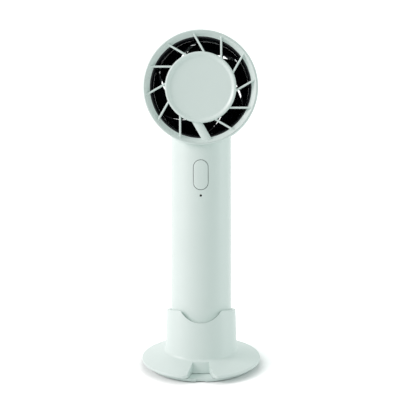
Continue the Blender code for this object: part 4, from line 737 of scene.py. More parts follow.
def scallop_form():
    """What is cut out of the cup's rim in front: a U with rounded upper corners."""
    lift = SCALLOP_RADIUS - SCALLOP_DEPTH
    reach = math.sqrt((SCALLOP_RADIUS + SCALLOP_CORNER) ** 2 - (lift + SCALLOP_CORNER) ** 2)
    tangent = math.atan2(lift + SCALLOP_CORNER, -reach)
    outline = [(reach, OVERRUN), *arc((reach, -SCALLOP_CORNER), SCALLOP_CORNER, QUARTER, tangent, 8)]
    outline += arc((0, lift), SCALLOP_RADIUS, tangent - 2 * QUARTER, -QUARTER, 32)[1:]
    outline += [(-x, y) for x, y in reversed(outline[:-1])]
    place = cup_place @ Matrix.Translation((0, 0, cup_rim)) @ Matrix.Rotation(QUARTER, 4, "X")
    return prism(outline, 0, CUP_FOOT_RADIUS + OVERRUN, place)


def foot_pins(lengths):
    """An upright pin at each screw of the foot, from (radius, low, high) lengths."""
    profile = [(0, lengths[0][1])]
    for radius, low, high in lengths:
        profile += [(radius, low), (radius, high)]
    profile.append((0, lengths[-1][2]))
    middles = arc((0, 0), SCREW_CIRCLE, QUARTER, QUARTER + TURN, FOOT_SCREWS)[:-1]
    return pins(profile, middles, level)


def make_base_shell(sizes, paint):
    """Cup and foot in one moulding, hollow from below, with the notch and the scallop."""
    rounding = sizes.edge_rounding
    angles = [TURN * step / LARGE for step in range(LARGE)]
    fillet = list(zip(*[fillet_section(angle, FOOT_FILLET, 10) for angle in angles]))
    edge = FOOT_RADIUS - FOOT_EDGE
    rim = arc((edge, FOOT_RIM_HEIGHT - FOOT_EDGE), FOOT_EDGE, 0, QUARTER - SKIRT_ANGLE, 4)
    under = arc((edge, LIP_BOTTOM + FOOT_EDGE), FOOT_EDGE, -QUARTER, 0, 3)
    top = arc((CUP_RADIUS - rounding, cup_rim - rounding), rounding, 0, QUARTER, 4)
    rings = [circle(LEG_RADIUS, LEG_BOTTOM), circle(LEG_RADIUS, LIP_BOTTOM)]
    rings += [circle(radius, height) for radius, height in [*under, *rim]]
    rings += fillet
    rings += [[cup_point(radius, angle, height) for angle in angles] for radius, height in top]
    bm = bmesh.new()
    add_loft(bm, rings)
    shell = form(bm, level)
    profile = [
        (0, cup_floor),
        (CUP_BORE, cup_floor),
        (CUP_BORE, cup_rim - CUP_MOUTH),
        (CUP_BORE + CUP_MOUTH + OVERRUN, cup_rim + OVERRUN),
        (0, cup_rim + OVERRUN),
    ]
    bore = turned(profile, cup_place)
    profile = [
        (0, 0),
        (LEG_INNER, 0),
        (LEG_INNER, skirt_height(LEG_INNER) - SKIRT_WALL),
        (0, skirt_height(0) - SKIRT_WALL),
    ]
    cavity = turned(profile, level)
    core = turned(rod(CUP_CORE, cup_floor - CUP_FLOOR_WALL, cup_rim), cup_place)
    bosses = foot_pins([(SCREW_BOSS_RADIUS, -OVERRUN, skirt_height(0))])
    carve(cavity, cut=[core, notch_form(NOTCH_WALL), bosses])
    pilots = foot_pins([(SCREW_PILOT_RADIUS, 0, SCREW_PILOT_TOP)])
    carve(shell, cut=[bore, cavity, pilots, notch_form(0), scallop_form()])
    piece(shell, "stand_shell", paint, "stand", "base_shell")


def make_base_cover(paint):
    """Cover under the foot, with a raised rim, three screw holes and the slot in its edge."""
    seat = COVER_BOTTOM + COVER_RECESS
    profile = [
        (0, seat),
        (COVER_RECESS_RADIUS, seat),
        (COVER_RECESS_RADIUS, COVER_BOTTOM),
        *arc((LEG_RADIUS - COVER_EDGE, COVER_BOTTOM + COVER_EDGE), COVER_EDGE, -QUARTER, 0, 4),
        (LEG_RADIUS, COVER_TOP),
        (0, COVER_TOP),
    ]
    cover = turned(profile, level)
    slot_size = (SLOT_WIDTH, SLOT_DEPTH, COVER_TOP + 2 * OVERRUN)
    slot = block(slot_size, (0, -LEG_RADIUS, COVER_TOP / 2), level)
    step = seat + SCREW_HEAD_DEPTH
    holes = foot_pins([(SCREW_HEAD_RADIUS, 0, step), (SCREW_PILOT_RADIUS, step, COVER_TOP + OVERRUN)])
    carve(cover, cut=[holes, slot])
    piece(cover, "stand_cover", paint, "stand", "base_cover")


# Housing
HEAD_WALL = 0.0020
HEAD_BACK_WIDTH = 0.0030  # of the rounded back edge
HEAD_BACK_DEPTH = 0.0040
HEAD_LIP = 0.0008
HOLLOW_BACK_WIDTH = 0.0020
HOLLOW_BACK_DEPTH = 0.0030
NECK_INSET = 0.0032  # how far the handle runs into the head
SCREW_PAIRS = ((0.0090, 0.0103), (0.0105, 0.1183))  # distance from the middle, height
BATTERY_RIBS = ((0.0349, 0.0096), (0.0707, 0.0096), (0.0183, 0.0060), (0.0866, 0.0060))  # height, opening
RIB_THICKNESS = 0.0015
RIB_RADIUS = 0.0175
WIRE_NOTCH_RADIUS = 0.0017
WIRE_NOTCH_DISTANCE = 0.0139
WIRE_NOTCH_ANGLE = math.radians(225)
WIRE_NOTCH_ENDS = (0.0163, 0.0901)
PILLAR_RADIUS = 0.0030
POST_RADIUS = 0.0014
POST_BACK = 0.0101
POST_PAIRS = ((0.0068, 0.0923), (0.0068, 0.1124))
SCREW_BORE_RADIUS = 0.00125
SCREW_BORE_FRONT = 0.0090
SCREW_WELL_RADIUS = 0.0023
SCREW_WELL_FRONT = -0.0050
WINDOW_WIDTH = 0.0094
WINDOW_LENGTH = 0.0186
WINDOW_BACK = 0.0116
PIPE_HOLE_RADIUS = 0.00075
PIPE_STEP = 0.0155
PIPE_BACK = 0.0112
PIPE_FLANGE_RADIUS = 0.0013
PIPE_RADIUS = 0.00055
PIPE_EDGE = 0.0002
PIPE_SET_BACK = 0.0003
END_CAP_EDGE = 0.0006
END_CAP_TOP = 0.0023
PLUG_TOP = 0.0047
PLUG_WALL = 0.0016
SOCKET_WIDTH = 0.00954
SOCKET_DEPTH = 0.0038
BUTTON_WIDTH = 0.0088
BUTTON_LENGTH = 0.0180
BUTTON_BACK = 0.0146
BUTTON_FACE_SHARES = (0.80, 0.55, 0.30)
FLANGE_WIDTH = 0.0108
FLANGE_LENGTH = 0.0200
FLANGE_ENDS = (0.0136, 0.0149)
STEM_RADIUS = 0.0015
STEM_ENDS = (0.0127, 0.0143)


def head_outline():
    edge = (HEAD_RADIUS - HEAD_BACK_WIDTH, HEAD_BACK_DEPTH - HEAD_BACK)
    back = arc(edge, HEAD_BACK_WIDTH, -QUARTER, 0, 12, depth=HEAD_BACK_DEPTH)
    lip = arc((HEAD_RADIUS - HEAD_LIP, HEAD_FRONT - HEAD_LIP), HEAD_LIP, 0, QUARTER, 6)
    return [(0, -HEAD_BACK), *back, *lip, (0, HEAD_FRONT)]


def head_hollow():
    inner_back = HEAD_WALL - HEAD_BACK
    edge = (HEAD_RADIUS - HEAD_WALL - HOLLOW_BACK_WIDTH, HOLLOW_BACK_DEPTH + inner_back)
    back = arc(edge, HOLLOW_BACK_WIDTH, -QUARTER, 0, 6, depth=HOLLOW_BACK_DEPTH)
    return [
        (0, -HEAD_BACK - OVERRUN),
        (INTAKE_RADIUS + GAP, -HEAD_BACK - OVERRUN),
        (INTAKE_RADIUS + GAP, inner_back),
        *back,
        (HEAD_BORE, HEAD_LEDGE),
        (LEDGE_RADIUS, HEAD_LEDGE),
        (LEDGE_RADIUS, HEAD_FRONT + OVERRUN),
        (0, HEAD_FRONT + OVERRUN),
    ]


def pairs(places):
    """Each place and its mirror image on the other side of the handle."""
    return [(way * distance, height) for distance, height in places for way in (-1, 1)]


def inside_features():
    """Battery ribs with their notch for the wires, screw pillars and board posts."""
    bm = bmesh.new()
    for low, opening in BATTERY_RIBS:
        high = low + RIB_THICKNESS
        add_turned(bm, [(opening, low), (RIB_RADIUS, low), (RIB_RADIUS, high), (opening, high)], 64)
    ribs = form(bm, fan_place)
    middle = (
        WIRE_NOTCH_DISTANCE * math.cos(WIRE_NOTCH_ANGLE),
        WIRE_NOTCH_DISTANCE * math.sin(WIRE_NOTCH_ANGLE),
    )
    carve(ribs, cut=[turned(rod(WIRE_NOTCH_RADIUS, *WIRE_NOTCH_ENDS), fan_place, SMALL, middle)])
    pillars = pins(rod(PILLAR_RADIUS, -HANDLE_RADIUS, HANDLE_RADIUS), pairs(SCREW_PAIRS), across_place)
    posts = pins(rod(POST_RADIUS, POST_BACK, HANDLE_RADIUS), pairs(POST_PAIRS), across_place)
    return ribs, pillars, posts


def screw_bores():
    """At each screw, a thread's bore in front and a wider well for its head, open at the back."""
    profile = [
        (0, SCREW_BORE_FRONT),
        (SCREW_BORE_RADIUS, SCREW_BORE_FRONT),
        (SCREW_BORE_RADIUS, SCREW_WELL_FRONT),
        (SCREW_WELL_RADIUS, SCREW_WELL_FRONT),
        (SCREW_WELL_RADIUS, -HANDLE_RADIUS - OVERRUN),
        (0, -HANDLE_RADIUS - OVERRUN),
    ]
    return pins(profile, pairs(SCREW_PAIRS), across_place)


def make_housing(paint):
    """Head and handle as one hollow form, split in front and rear halves."""
    shape = turned(head_outline(), head_place)
    handle_top = HEAD_HEIGHT - HEAD_BORE + HANDLE_RADIUS / 2
    handle = turned(rod(HANDLE_RADIUS, HOUSING_BOTTOM, handle_top), fan_place)
    carve(handle, cut=[turned(rod(HEAD_RADIUS - NECK_INSET, -HEAD_RADIUS, HEAD_RADIUS), head_place)])
    hollow = turned(head_hollow(), head_place)
    bore = HANDLE_RADIUS - HANDLE_WALL
    handle_hollow = turned(rod(bore, -OVERRUN, HEAD_HEIGHT - DUCT_RADIUS), fan_place, 96)
    carve(hollow, join=[handle_hollow], cut=inside_features())
    carve(shape, join=[handle], cut=[hollow, screw_bores()])

    size = (2 * HEAD_RADIUS + OVERRUN, HEAD_RADIUS, HEAD_HEIGHT + 2 * HEAD_RADIUS)
    for name, node, facing in (("front_shell", "front_housing", -1), ("rear_shell", "rear_housing", 1)):
        half = block(size, (0, facing * (HEAD_RADIUS / 2 + GAP / 2), HEAD_HEIGHT / 2), fan_place)
        openings = []
        if facing < 0:
            outline = pill(WINDOW_WIDTH, WINDOW_LENGTH)
            openings.append(prism(outline, WINDOW_BACK, HANDLE_RADIUS + OVERRUN, button_place))
            hole = rod(PIPE_HOLE_RADIUS, PIPE_STEP, HANDLE_RADIUS + OVERRUN)
            openings.append(turned(hole, pipe_place, SMALL))
        carve(half, keep=[new_object("form", shape.data.copy())], cut=openings)
        piece(half, name, paint, "fan", node)
    bpy.data.meshes.remove(shape.data)


def make_button(sizes, paint):
    """Button cap with a rounded edge. Its face follows the handle, and a flange holds it in."""
    crown = sizes.button_crown
    half_width = BUTTON_WIDTH / 2
    half_length = BUTTON_LENGTH / 2
    outline = pill(BUTTON_WIDTH, BUTTON_LENGTH, 28)
    rings = [[(x, y, -crown) for x, y in outline]]
    for step in range(1, 5):
        angle = QUARTER * step / 4
        inset = crown * (1 - math.cos(angle))
        narrow = 1 - inset / half_width
        short = 1 - inset / half_length
        rings.append([(x * narrow, y * short, crown * (math.sin(angle) - 1)) for x, y in outline])
    for share in BUTTON_FACE_SHARES:
        short = (half_length - half_width + share * half_width) / half_length
        rings.append([(x * share, y * short, 0) for x, y in outline])
    skin = [[(x, y, BUTTON_BACK) for x, y in outline]]
    for ring in rings:
        skin.append([(x, y, math.sqrt(HANDLE_RADIUS**2 - x * x) + depth) for x, y, depth in ring])
    bm = bmesh.new()
    add_loft(bm, skin)
    cap = form(bm, button_place)
    flange = prism(pill(FLANGE_WIDTH, FLANGE_LENGTH), *FLANGE_ENDS, button_place)
    stem = turned(rod(STEM_RADIUS, *STEM_ENDS), button_place, SMALL)
    carve(cap, join=[flange, stem])
    piece(cap, "button_cap", paint, "button", "power_button")


def make_light_pipe(paint):
    """Stepped pin of dark clear plastic, whose rounded end shows under the button."""
    front_end = HANDLE_RADIUS - PIPE_SET_BACK
    profile = [
        (0, PIPE_BACK),
        (PIPE_FLANGE_RADIUS, PIPE_BACK),
        (PIPE_FLANGE_RADIUS, PIPE_STEP),
        (PIPE_RADIUS, PIPE_STEP),
        *arc((PIPE_RADIUS - PIPE_EDGE, front_end - PIPE_EDGE), PIPE_EDGE, 0, QUARTER, 4),
        (0, front_end),
    ]
    piece(turned(profile, pipe_place, SMALL), "indicator_lens", paint, "fan", "light_pipe")


def make_end_cap(paint):
    """Cap that plugs the handle's lower end, with the opening of the charging socket."""
    plug = HANDLE_RADIUS - HANDLE_WALL - GAP
    profile = [
        (0, 0),
        *arc((HANDLE_RADIUS - END_CAP_EDGE, END_CAP_EDGE), END_CAP_EDGE, -QUARTER, 0, 5),
        (HANDLE_RADIUS, END_CAP_TOP),
        (plug, END_CAP_TOP),
        (plug, PLUG_TOP),
        (plug - PLUG_WALL, PLUG_TOP),
        (plug - PLUG_WALL, END_CAP_TOP),
        (0, END_CAP_TOP),
    ]
    cap = turned(profile, fan_place)
    outline = [(y, x) for x, y in pill(SOCKET_DEPTH, SOCKET_WIDTH, 12)][::-1]
    carve(cap, cut=[prism(outline, -OVERRUN, END_CAP_TOP + OVERRUN, fan_place)])
    piece(cap, "handle_cap", paint, "fan", "end_cap")


# Grilles and duct
SPOKE_COUNT = 12
WIDE_SPOKE = 6  # the lowest one
SPOKE_SET_BACK = 0.0008
SPOKE_CROWN_SHARE = 0.8
SPOKE_ROOT = 0.0008  # how far inside the disc's edge a spoke starts
SPOKE_OVERLAP = 0.0027  # how far past the funnel's inner edge it ends, before it is trimmed
WIDE_SPOKE_SHOULDER = 0.0026
WIDE_SPOKE_CROWN = 0.0014
WIDE_SPOKE_ROOT = 0.0022
CHANNEL_HALF_WIDTH = 0.0016
CHANNEL_START = 0.0150
GRILLE_LAND = 0.0003
GRILLE_EDGE = 0.0001
THROAT_EDGE = 0.0005
THROAT_SLOPE_START = 0.0007
THROAT_SLOPE_RISE = 0.0001
FUNNEL_WALL = 0.0010
DISC_RADIUS = 0.0217
DISC_EDGE = 0.0010
DISC_FLAT_RADIUS = 0.0184
DISC_SLOPE = 0.0023  # width of the slope from the flat up to the rim
DISC_SKIRT_BORE = 0.0204
INTAKE_BARS = 20
INTAKE_BAR_OFFSET = 0.0060
INTAKE_BAR_HALF_WIDTH = 0.00065
INTAKE_EDGE_WIDTH = 0.0014
INTAKE_EDGE_DEPTH = 0.0006
INTAKE_DEPTH = 0.0024
INTAKE_RINGS = ((0.0085, 0.0166), (0.0182, INTAKE_RADIUS - 0.0028))
INTAKE_ROUNDING = 0.00018
DUCT_MOUTH_WIDTH = 0.0014
DUCT_MOUTH_DEPTH = 0.0034
DUCT_OUTER = 0.0316
DUCT_CHAMFER = 0.0003
DUCT_FLANGE_RADIUS = 0.0327
DUCT_FLANGE_SET_BACK = 0.0017
DUCT_FLANGE_THICKNESS = 0.0012


def spoke_point(number, run, aside, depth):
    heading = TURN * (number - 1) / SPOKE_COUNT
    along = Vector((math.sin(heading), math.cos(heading), 0))
    across = Vector((math.cos(heading), -math.sin(heading), 0))
    return run * along + (SPOKE_OFFSET + aside) * across + Vector((0, 0, depth))


def spoke_run(radius):
    return math.sqrt(radius**2 - SPOKE_OFFSET**2)


def spoke_section(number, sizes):
    """(side, depth) outline of a spoke and how far inside the disc's edge it starts."""
    if number == WIDE_SPOKE:
        half = sizes.wide_spoke_width / 2
        shoulder = GRILLE_FRONT - WIDE_SPOKE_SHOULDER
        crown = arc((0, shoulder), half, 0, 2 * QUARTER, 14, depth=WIDE_SPOKE_CROWN)
        return [*crown, (-half, SPOKE_BACK), (half, SPOKE_BACK)], WIDE_SPOKE_ROOT
    half = sizes.spoke_width / 2
    rise = half * SPOKE_CROWN_SHARE
    crown = arc((0, GRILLE_FRONT - SPOKE_SET_BACK - rise), half, 0, 2 * QUARTER, 8, depth=rise)
    return [*crown, (-half, SPOKE_BACK), (half, SPOKE_BACK)], SPOKE_ROOT


def grille_ring():
    """The funnel between the head's rim and the blades' opening."""
    edge = (GRILLE_RADIUS - GRILLE_EDGE, GRILLE_FRONT - GRILLE_EDGE)
    throat = (FUNNEL_RADIUS + THROAT_EDGE, FUNNEL_BOTTOM - THROAT_EDGE)
    bore = HEAD_BORE - 2 * GAP
    profile = [
        (GRILLE_RADIUS, HEAD_LEDGE + GAP),
        *arc(edge, GRILLE_EDGE, 0, QUARTER, 3),
        (GRILLE_RADIUS - GRILLE_LAND, GRILLE_FRONT),
        (FUNNEL_RADIUS + THROAT_SLOPE_START, FUNNEL_BOTTOM + THROAT_SLOPE_RISE),
        *arc(throat, THROAT_EDGE, QUARTER, 2 * QUARTER, 4),
        (FUNNEL_RADIUS, FUNNEL_BOTTOM - FUNNEL_WALL),
        (bore, FUNNEL_BOTTOM - FUNNEL_WALL),
        (bore, HEAD_LEDGE + GAP),
    ]
    return turned(profile, head_place)


def grille_disc(sizes):
    """The dished disc, with a skirt round its back and a boss for the motor's tube."""
    dish = []
    for step in range(11):
        share = step / 10
        rise = share * share * (3 - 2 * share)
        dish.append((DISC_FLAT_RADIUS + DISC_SLOPE * share, GRILLE_FRONT - sizes.disc_dish * (1 - rise)))
    rim = arc((DISC_RADIUS - DISC_EDGE, GRILLE_FRONT - DISC_EDGE), DISC_EDGE, QUARTER, 0, 8)
    profile = [
        (0, GRILLE_FRONT - sizes.disc_dish),
        *dish,
        *rim[1:],
        (DISC_RADIUS, SKIRT_BACK),
        (DISC_SKIRT_BORE, SKIRT_BACK),
        (DISC_SKIRT_BORE, DISC_BACK),
        (BOSS_RADIUS, DISC_BACK),
        (BOSS_RADIUS, SKIRT_BACK),
        (BOSS_BORE, SKIRT_BACK),
        (BOSS_BORE, TUBE_FRONT + GAP),
        (0, TUBE_FRONT + GAP),
    ]
    return turned(profile, head_place)


def grille_spokes(sizes):
    """All the spokes, trimmed to the ring that they run into."""
    bm = bmesh.new()
    for number in range(SPOKE_COUNT):
        section, root = spoke_section(number, sizes)
        runs = (spoke_run(DISC_RADIUS - root), spoke_run(FUNNEL_RADIUS + SPOKE_OVERLAP))
        add_loft(bm, [[spoke_point(number, run, aside, depth) for aside, depth in section] for run in runs])
    bore = HEAD_BORE - 3 * GAP
    profile = [
        (0, SPOKE_BACK - OVERRUN),
        (bore, SPOKE_BACK - OVERRUN),
        (bore, HEAD_LEDGE + 2 * GAP),
        (GRILLE_RADIUS - GRILLE_LAND, HEAD_LEDGE + 2 * GAP),
        (GRILLE_RADIUS - GRILLE_LAND, GRILLE_FRONT),
        (0, GRILLE_FRONT),
    ]
    reach = turned(profile, head_place)
    return carve(form(bm, head_place), keep=[reach])


def make_front_grille(sizes, paint):
    """Funnel ring, swirled spokes and dished disc in one moulding, with a channel for the motor's leads."""
    roof = GRILLE_FRONT - WIDE_SPOKE_SHOULDER
    low = SKIRT_BACK - OVERRUN
    half = CHANNEL_HALF_WIDTH
    section = [(half, low), (half, roof), (-half, roof), (-half, low)]
    runs = (spoke_run(CHANNEL_START), spoke_run(HEAD_RADIUS))
    bm = bmesh.new()
    add_loft(bm, [[spoke_point(WIDE_SPOKE, run, aside, depth) for aside, depth in section] for run in runs])
    channel = form(bm, head_place)
    ring = carve(grille_ring(), join=[grille_disc(sizes), grille_spokes(sizes)], cut=[channel])
    piece(ring, "swirl_grille", paint, "fan", "front_grille")


def intake_opening(number, low, high):
    """The space between two swirled bars, from one radius to another."""
    pitch = TURN / INTAKE_BARS
    heading = pitch * number
    ends = []
    for radius in (low, high):
        start = heading + math.asin((INTAKE_BAR_OFFSET + INTAKE_BAR_HALF_WIDTH) / radius)
        end = heading + pitch + math.asin((INTAKE_BAR_OFFSET - INTAKE_BAR_HALF_WIDTH) / radius)
        turns = [start + (end - start) * step / 4 for step in range(5)]
        ends.append([(radius * math.sin(turn), radius * math.cos(turn)) for turn in turns])
    return ends[0] + ends[1][::-1]


def make_rear_grille(paint):
    """Intake plate with two rings of swirled openings."""
    back = GAP - HEAD_BACK
    inner = INTAKE_DEPTH - HEAD_BACK
    edge = (INTAKE_RADIUS - INTAKE_EDGE_WIDTH, back + INTAKE_EDGE_DEPTH)
    profile = [
        (0, back),
        *arc(edge, INTAKE_EDGE_WIDTH, -QUARTER, 0, 6, depth=INTAKE_EDGE_DEPTH),
        (INTAKE_RADIUS, inner),
        (0, inner),
    ]
    plate = turned(profile, head_place)
    bm = bmesh.new()
    for low, high in INTAKE_RINGS:
        for number in range(INTAKE_BARS):
            add_prism(bm, intake_opening(number, low, high), back - OVERRUN, inner + OVERRUN)
    carve(plate, cut=[form(bm, head_place)])
    soften(plate, INTAKE_ROUNDING)
    piece(plate, "intake_grille", paint, "fan", "rear_grille")


def make_air_duct(paint):
    """Black duct round the impeller, with a flared mouth and a locating flange."""
    flange_front = DUCT_FRONT - DUCT_FLANGE_SET_BACK
    flange_back = flange_front - DUCT_FLANGE_THICKNESS
    width = DUCT_MOUTH_WIDTH
    depth = DUCT_MOUTH_DEPTH
    middle = DUCT_RADIUS + width
    profile = [
        *arc((middle, DUCT_FRONT - depth), width, QUARTER, 2 * QUARTER, 10, depth),
        *arc((middle, DUCT_BACK + depth), width, 2 * QUARTER, 3 * QUARTER, 10, depth),
        (DUCT_OUTER, DUCT_BACK),
        (DUCT_OUTER, flange_back),
        (DUCT_FLANGE_RADIUS, flange_back),
        (DUCT_FLANGE_RADIUS, flange_front),
        (DUCT_OUTER, flange_front),
        (DUCT_OUTER, DUCT_FRONT - DUCT_CHAMFER),
        (DUCT_OUTER - DUCT_CHAMFER, DUCT_FRONT),
    ]
    duct = turned(profile, head_place)
    piece(duct, "duct", paint, "fan", "air_duct")


# Impeller
BLADE_CAMBER = 1.25
BLADE_TIP_SPREAD = math.radians(7)
BLADE_ROOT = 0.0007  # how far a blade reaches into the hub
OUTWARD_STEP = 0.0007  # between two points that show which way is outward
BLADE_EDGE_SHARE = 0.02  # of the chord, rounded at each end
BLADE_END_FULLNESS = 0.35  # thickness near the ends, as a share of that in the middle
BLADE_STATIONS = 16
BLADE_STEPS = 28
HUB_EDGE = 0.0004
HUB_INNER_NOSE = 0.0062
HUB_INNER_END = math.radians(75)
SHAFT_BOSS_RADIUS = 0.0032
SHAFT_BOSS_FRONT = 0.0023
SHAFT_BORE = 0.0013
SHAFT_BORE_BACK = -0.0058


def blade_point(sizes, turn, radius, share):
    """A point on a blade's middle surface: share 0 is its front edge, 1 its back edge."""
    out = (radius - HUB_RADIUS) / (BLADE_TIP - HUB_RADIUS)
    chord = TURN / sizes.blade_count - sizes.blade_opening + BLADE_TIP_SPREAD * out * abs(out)
    angle = turn + sizes.blade_sweep * out - chord * max(share, 0) ** BLADE_CAMBER
    return Vector((radius * math.sin(angle), radius * math.cos(angle), BLADE_FRONT - BLADE_DEPTH * share))


def blade_section(sizes, turn, radius):
    """Closed outline of a blade at one radius, with rounded edges."""
    front_side = []
    back_side = []
    for number in range(BLADE_STEPS + 1):
        share = (1 - math.cos(math.pi * number / BLADE_STEPS)) / 2
        low = max(share - BLADE_EDGE_SHARE, 0)
        high = min(share + BLADE_EDGE_SHARE, 1)
        middle = blade_point(sizes, turn, radius, share)
        along = blade_point(sizes, turn, radius, high) - blade_point(sizes, turn, radius, low)
        outward = blade_point(sizes, turn, radius + OUTWARD_STEP, share) - middle
        edge = max(1 - min(share, 1 - share) / BLADE_EDGE_SHARE, 0)
        fullness = BLADE_END_FULLNESS + (1 - BLADE_END_FULLNESS) * math.sin(math.pi * share)
        fullness *= math.sqrt(max(1 - edge**2, 0))
        shift = along.cross(outward).normalized() * sizes.blade_width * fullness / 2
        front_side.append(middle + shift)
        if 0 < number < BLADE_STEPS:
            back_side.append(middle - shift)
    return front_side + back_side[::-1]


def make_impeller(sizes, paint):
    """Hub with a rounded nose, open at the front for the motor, and swept, twisted blades."""
    inner = arc((0, CAN_BACK - GAP), HUB_INNER, 0, -HUB_INNER_END, 12, depth=HUB_INNER_NOSE)
    profile = [
        *arc((0, HUB_SIDE_BACK), HUB_RADIUS, -QUARTER, 0, 20, depth=HUB_NOSE),
        *arc((HUB_RADIUS - HUB_EDGE, HUB_FRONT - HUB_EDGE), HUB_EDGE, 0, QUARTER, 4),
        (HUB_INNER, HUB_FRONT),
        *inner,
        (SHAFT_BOSS_RADIUS, inner[-1][1]),
        (SHAFT_BOSS_RADIUS, SHAFT_BOSS_FRONT),
        (SHAFT_BORE, SHAFT_BOSS_FRONT),
        (SHAFT_BORE, SHAFT_BORE_BACK),
        (0, SHAFT_BORE_BACK),
    ]
    hub = turned(profile, head_place, 120)
    root = HUB_RADIUS - BLADE_ROOT
    radii = [root + (BLADE_TIP - root) * station / BLADE_STATIONS for station in range(BLADE_STATIONS + 1)]
    bm = bmesh.new()
    for number in range(sizes.blade_count):
        turn = sizes.blade_first + TURN * number / sizes.blade_count
        add_loft(bm, [blade_section(sizes, turn, radius) for radius in radii])
    carve(hub, join=[form(bm, head_place)])
    piece(hub, "blade_wheel", paint, "rotor", "impeller")


# Carried-over nodes
def dress_nodes(colours):
    """Gives every CAD node that stays its own material."""
    steel = colours.steel
    board = colours.board
    finishes = {
        "base_weight": rolled_steel("weight plate steel", steel),
        "base_pad": foam_rubber("pad foam rubber", colours.rubber),
        "bearing_tube": turned_metal("tube brass", BRASS, head_place),
        "front_bearing": turned_metal("front bearing steel", steel, head_place, 0.18),
        "rear_bearing": turned_metal("rear bearing steel", steel, head_place, 0.18),
        "motor_board": circuit_board("motor board mask", board, head_place),
        "stator_core": stacked_sheets("stator sheets"),
        "rotor_can": turned_metal("can steel", steel, head_place, 0.3),
        "magnet_ring": ferrite("magnet ferrite"),
        "motor_shaft": turned_metal("shaft steel", steel, head_place, 0.14),
        "shaft_clip": turned_metal("clip steel", tinted(steel, 0.4), head_place, 0.35),
        "usb_c_socket": turned_metal("socket nickel", NICKEL, fan_place, 0.25, 3000),
        "charge_board": circuit_board("charge board mask", board, across_place),
        "charge_chip": chip_plastic("charge chip resin"),
        "battery_cell": shrink_wrap("cell wrap", colours.wrap),
        "battery_tab_bottom": turned_metal("lower tab nickel", NICKEL, fan_place, 0.3),
        "battery_tab_top": turned_metal("upper tab nickel", NICKEL, fan_place, 0.3),
        "control_board": circuit_board("control board mask", board, across_place),
        "motor_chip": chip_plastic("driver chip resin"),
        "indicator_led": smoked_lens("indicator resin", (0.30, 0.28, 0.20)),
        "tact_switch": chip_plastic("switch body resin"),
        "switch_plunger": chip_plastic("plunger resin"),
    }
    for number in range(1, 7):
        finishes[f"stator_coil_{number}"] = wound_copper(f"coil {number} copper", colours.copper)
    for number in range(1, 5):
        screw = turned_metal(f"housing screw {number} zinc", steel, across_place)
        finishes[f"housing_screw_{number}"] = screw
    for number in range(1, FOOT_SCREWS + 1):
        finishes[f"base_screw_{number}"] = turned_metal(f"foot screw {number} zinc", steel, level)
    for name in ("motor_lead_1", "power_lead_1", "battery_lead"):
        finishes[name] = wire_insulation(f"{name} red insulation", RED)
    for name in ("motor_lead_2", "power_lead_2"):
        finishes[name] = wire_insulation(f"{name} black insulation", DARK)
    for name, material in finishes.items():
        node = frame["nodes"][name]
        node.data.materials.clear()
        node.data.materials.append(material)


# Stage
LAMP_DISTANCE = 1.1
LAMP_TARGET = Vector((0, 0.02, 0.10))
LAMPS = (  # name, degrees to the right of the front, degrees up, watts, colour, size
    ("key", -78, 28, 6.3, (1.0, 0.85, 0.89), (0.32, 0.50)),
    ("fill", 88, 15, 1.9, (0.98, 0.94, 0.97), (0.5, 0.7)),
    ("back light", 180, 35, 1.6, WHITE, (0.5, 0.7)),
)
WORLD_LIGHT = 0.62
WORLD_COLOUR = (0.93, 1.0, 0.975)
FLOOR_REACH = 3
FLOOR_GLOW = 0.47
# The floor's glow fades near the object, which paints a shadow round it.
PAINTED_SHADOW_REACH = 0.022  # how near the object the floor's glow starts to fade
VIEW_AZIMUTH = 0.764  # degrees
VIEW_HEIGHT = 15.94  # degrees
VIEW_ROLL = math.radians(-0.246)
VIEW_DISTANCE = 1.2031
VIEW_CENTRE = 0.100  # up along the fan
VIEW_SHIFT = (-0.0007, 0.00114)  # to the right and up, in the picture
VIEW_LENS = 175.4


def direction(azimuth, height):
    """The way to a place, from its degrees to the right of the front and its degrees up."""
    azimuth = math.radians(azimuth)
    height = math.radians(height)
    flat = math.cos(height)
    return Vector((math.sin(azimuth) * flat, -math.cos(azimuth) * flat, math.sin(height)))


def area_light(name, azimuth, height, power, colour, size):
    """A soft lamp on a sphere round the fan."""
    way = direction(azimuth, height)
    data = bpy.data.lights.new(name, "AREA")
    data.shape = "RECTANGLE"
    data.size, data.size_y = size
    data.energy = power
    data.color = colour
    lamp = new_object(name, data)
    lamp.location = LAMP_TARGET + LAMP_DISTANCE * way
    lamp.rotation_euler = (-way).to_track_quat("-Z", "Y").to_euler()


def make_floor(colour):
    """A wide floor that the camera sees as white, apart from the object's shadow, which is partly cast by
    the lamps and partly painted by fading the floor's glow near the object.
    """
    bm = bmesh.new()
    bmesh.ops.create_grid(bm, x_segments=1, y_segments=1, size=FLOOR_REACH)
    mesh = bpy.data.meshes.new("floor")
    bm.to_mesh(mesh)
    bm.free()
    floor = new_object("floor", mesh)
    paint = Paint("floor paper")
    grain = paint.noise(500, 2)
    paint.finish(paint.mix(grain, tinted(colour, 0.995), colour), 0.9)
    # Painted shadow: ambient occlusion dims the floor's glow near the object.
    near = paint.node("ShaderNodeAmbientOcclusion", {"samples": 12}, {"Distance": PAINTED_SHADOW_REACH}, output="AO")
    glow = paint.mix(paint.plain_sight() * near**4, BLACK, WHITE)
    paint.link(paint.shader.inputs["Emission Color"], glow)
    paint.fixed(emission_strength=FLOOR_GLOW, specular_ior_level=0.0)
    mesh.materials.append(paint.material)


def make_world():
    """Even light from all round, on a background that shows as white."""
    world = bpy.data.worlds.new("studio")
    bpy.context.scene.world = world
    paint = Paint("studio", world)
    seen = paint.plain_sight()
    strength = paint.node("ShaderNodeMapRange", None, {"Value": seen, "To Min": WORLD_LIGHT, "To Max": 1.0})
    paint.link(paint.shader.inputs["Strength"], strength)
    paint.link(paint.shader.inputs["Color"], paint.mix(seen, WORLD_COLOUR, WHITE))


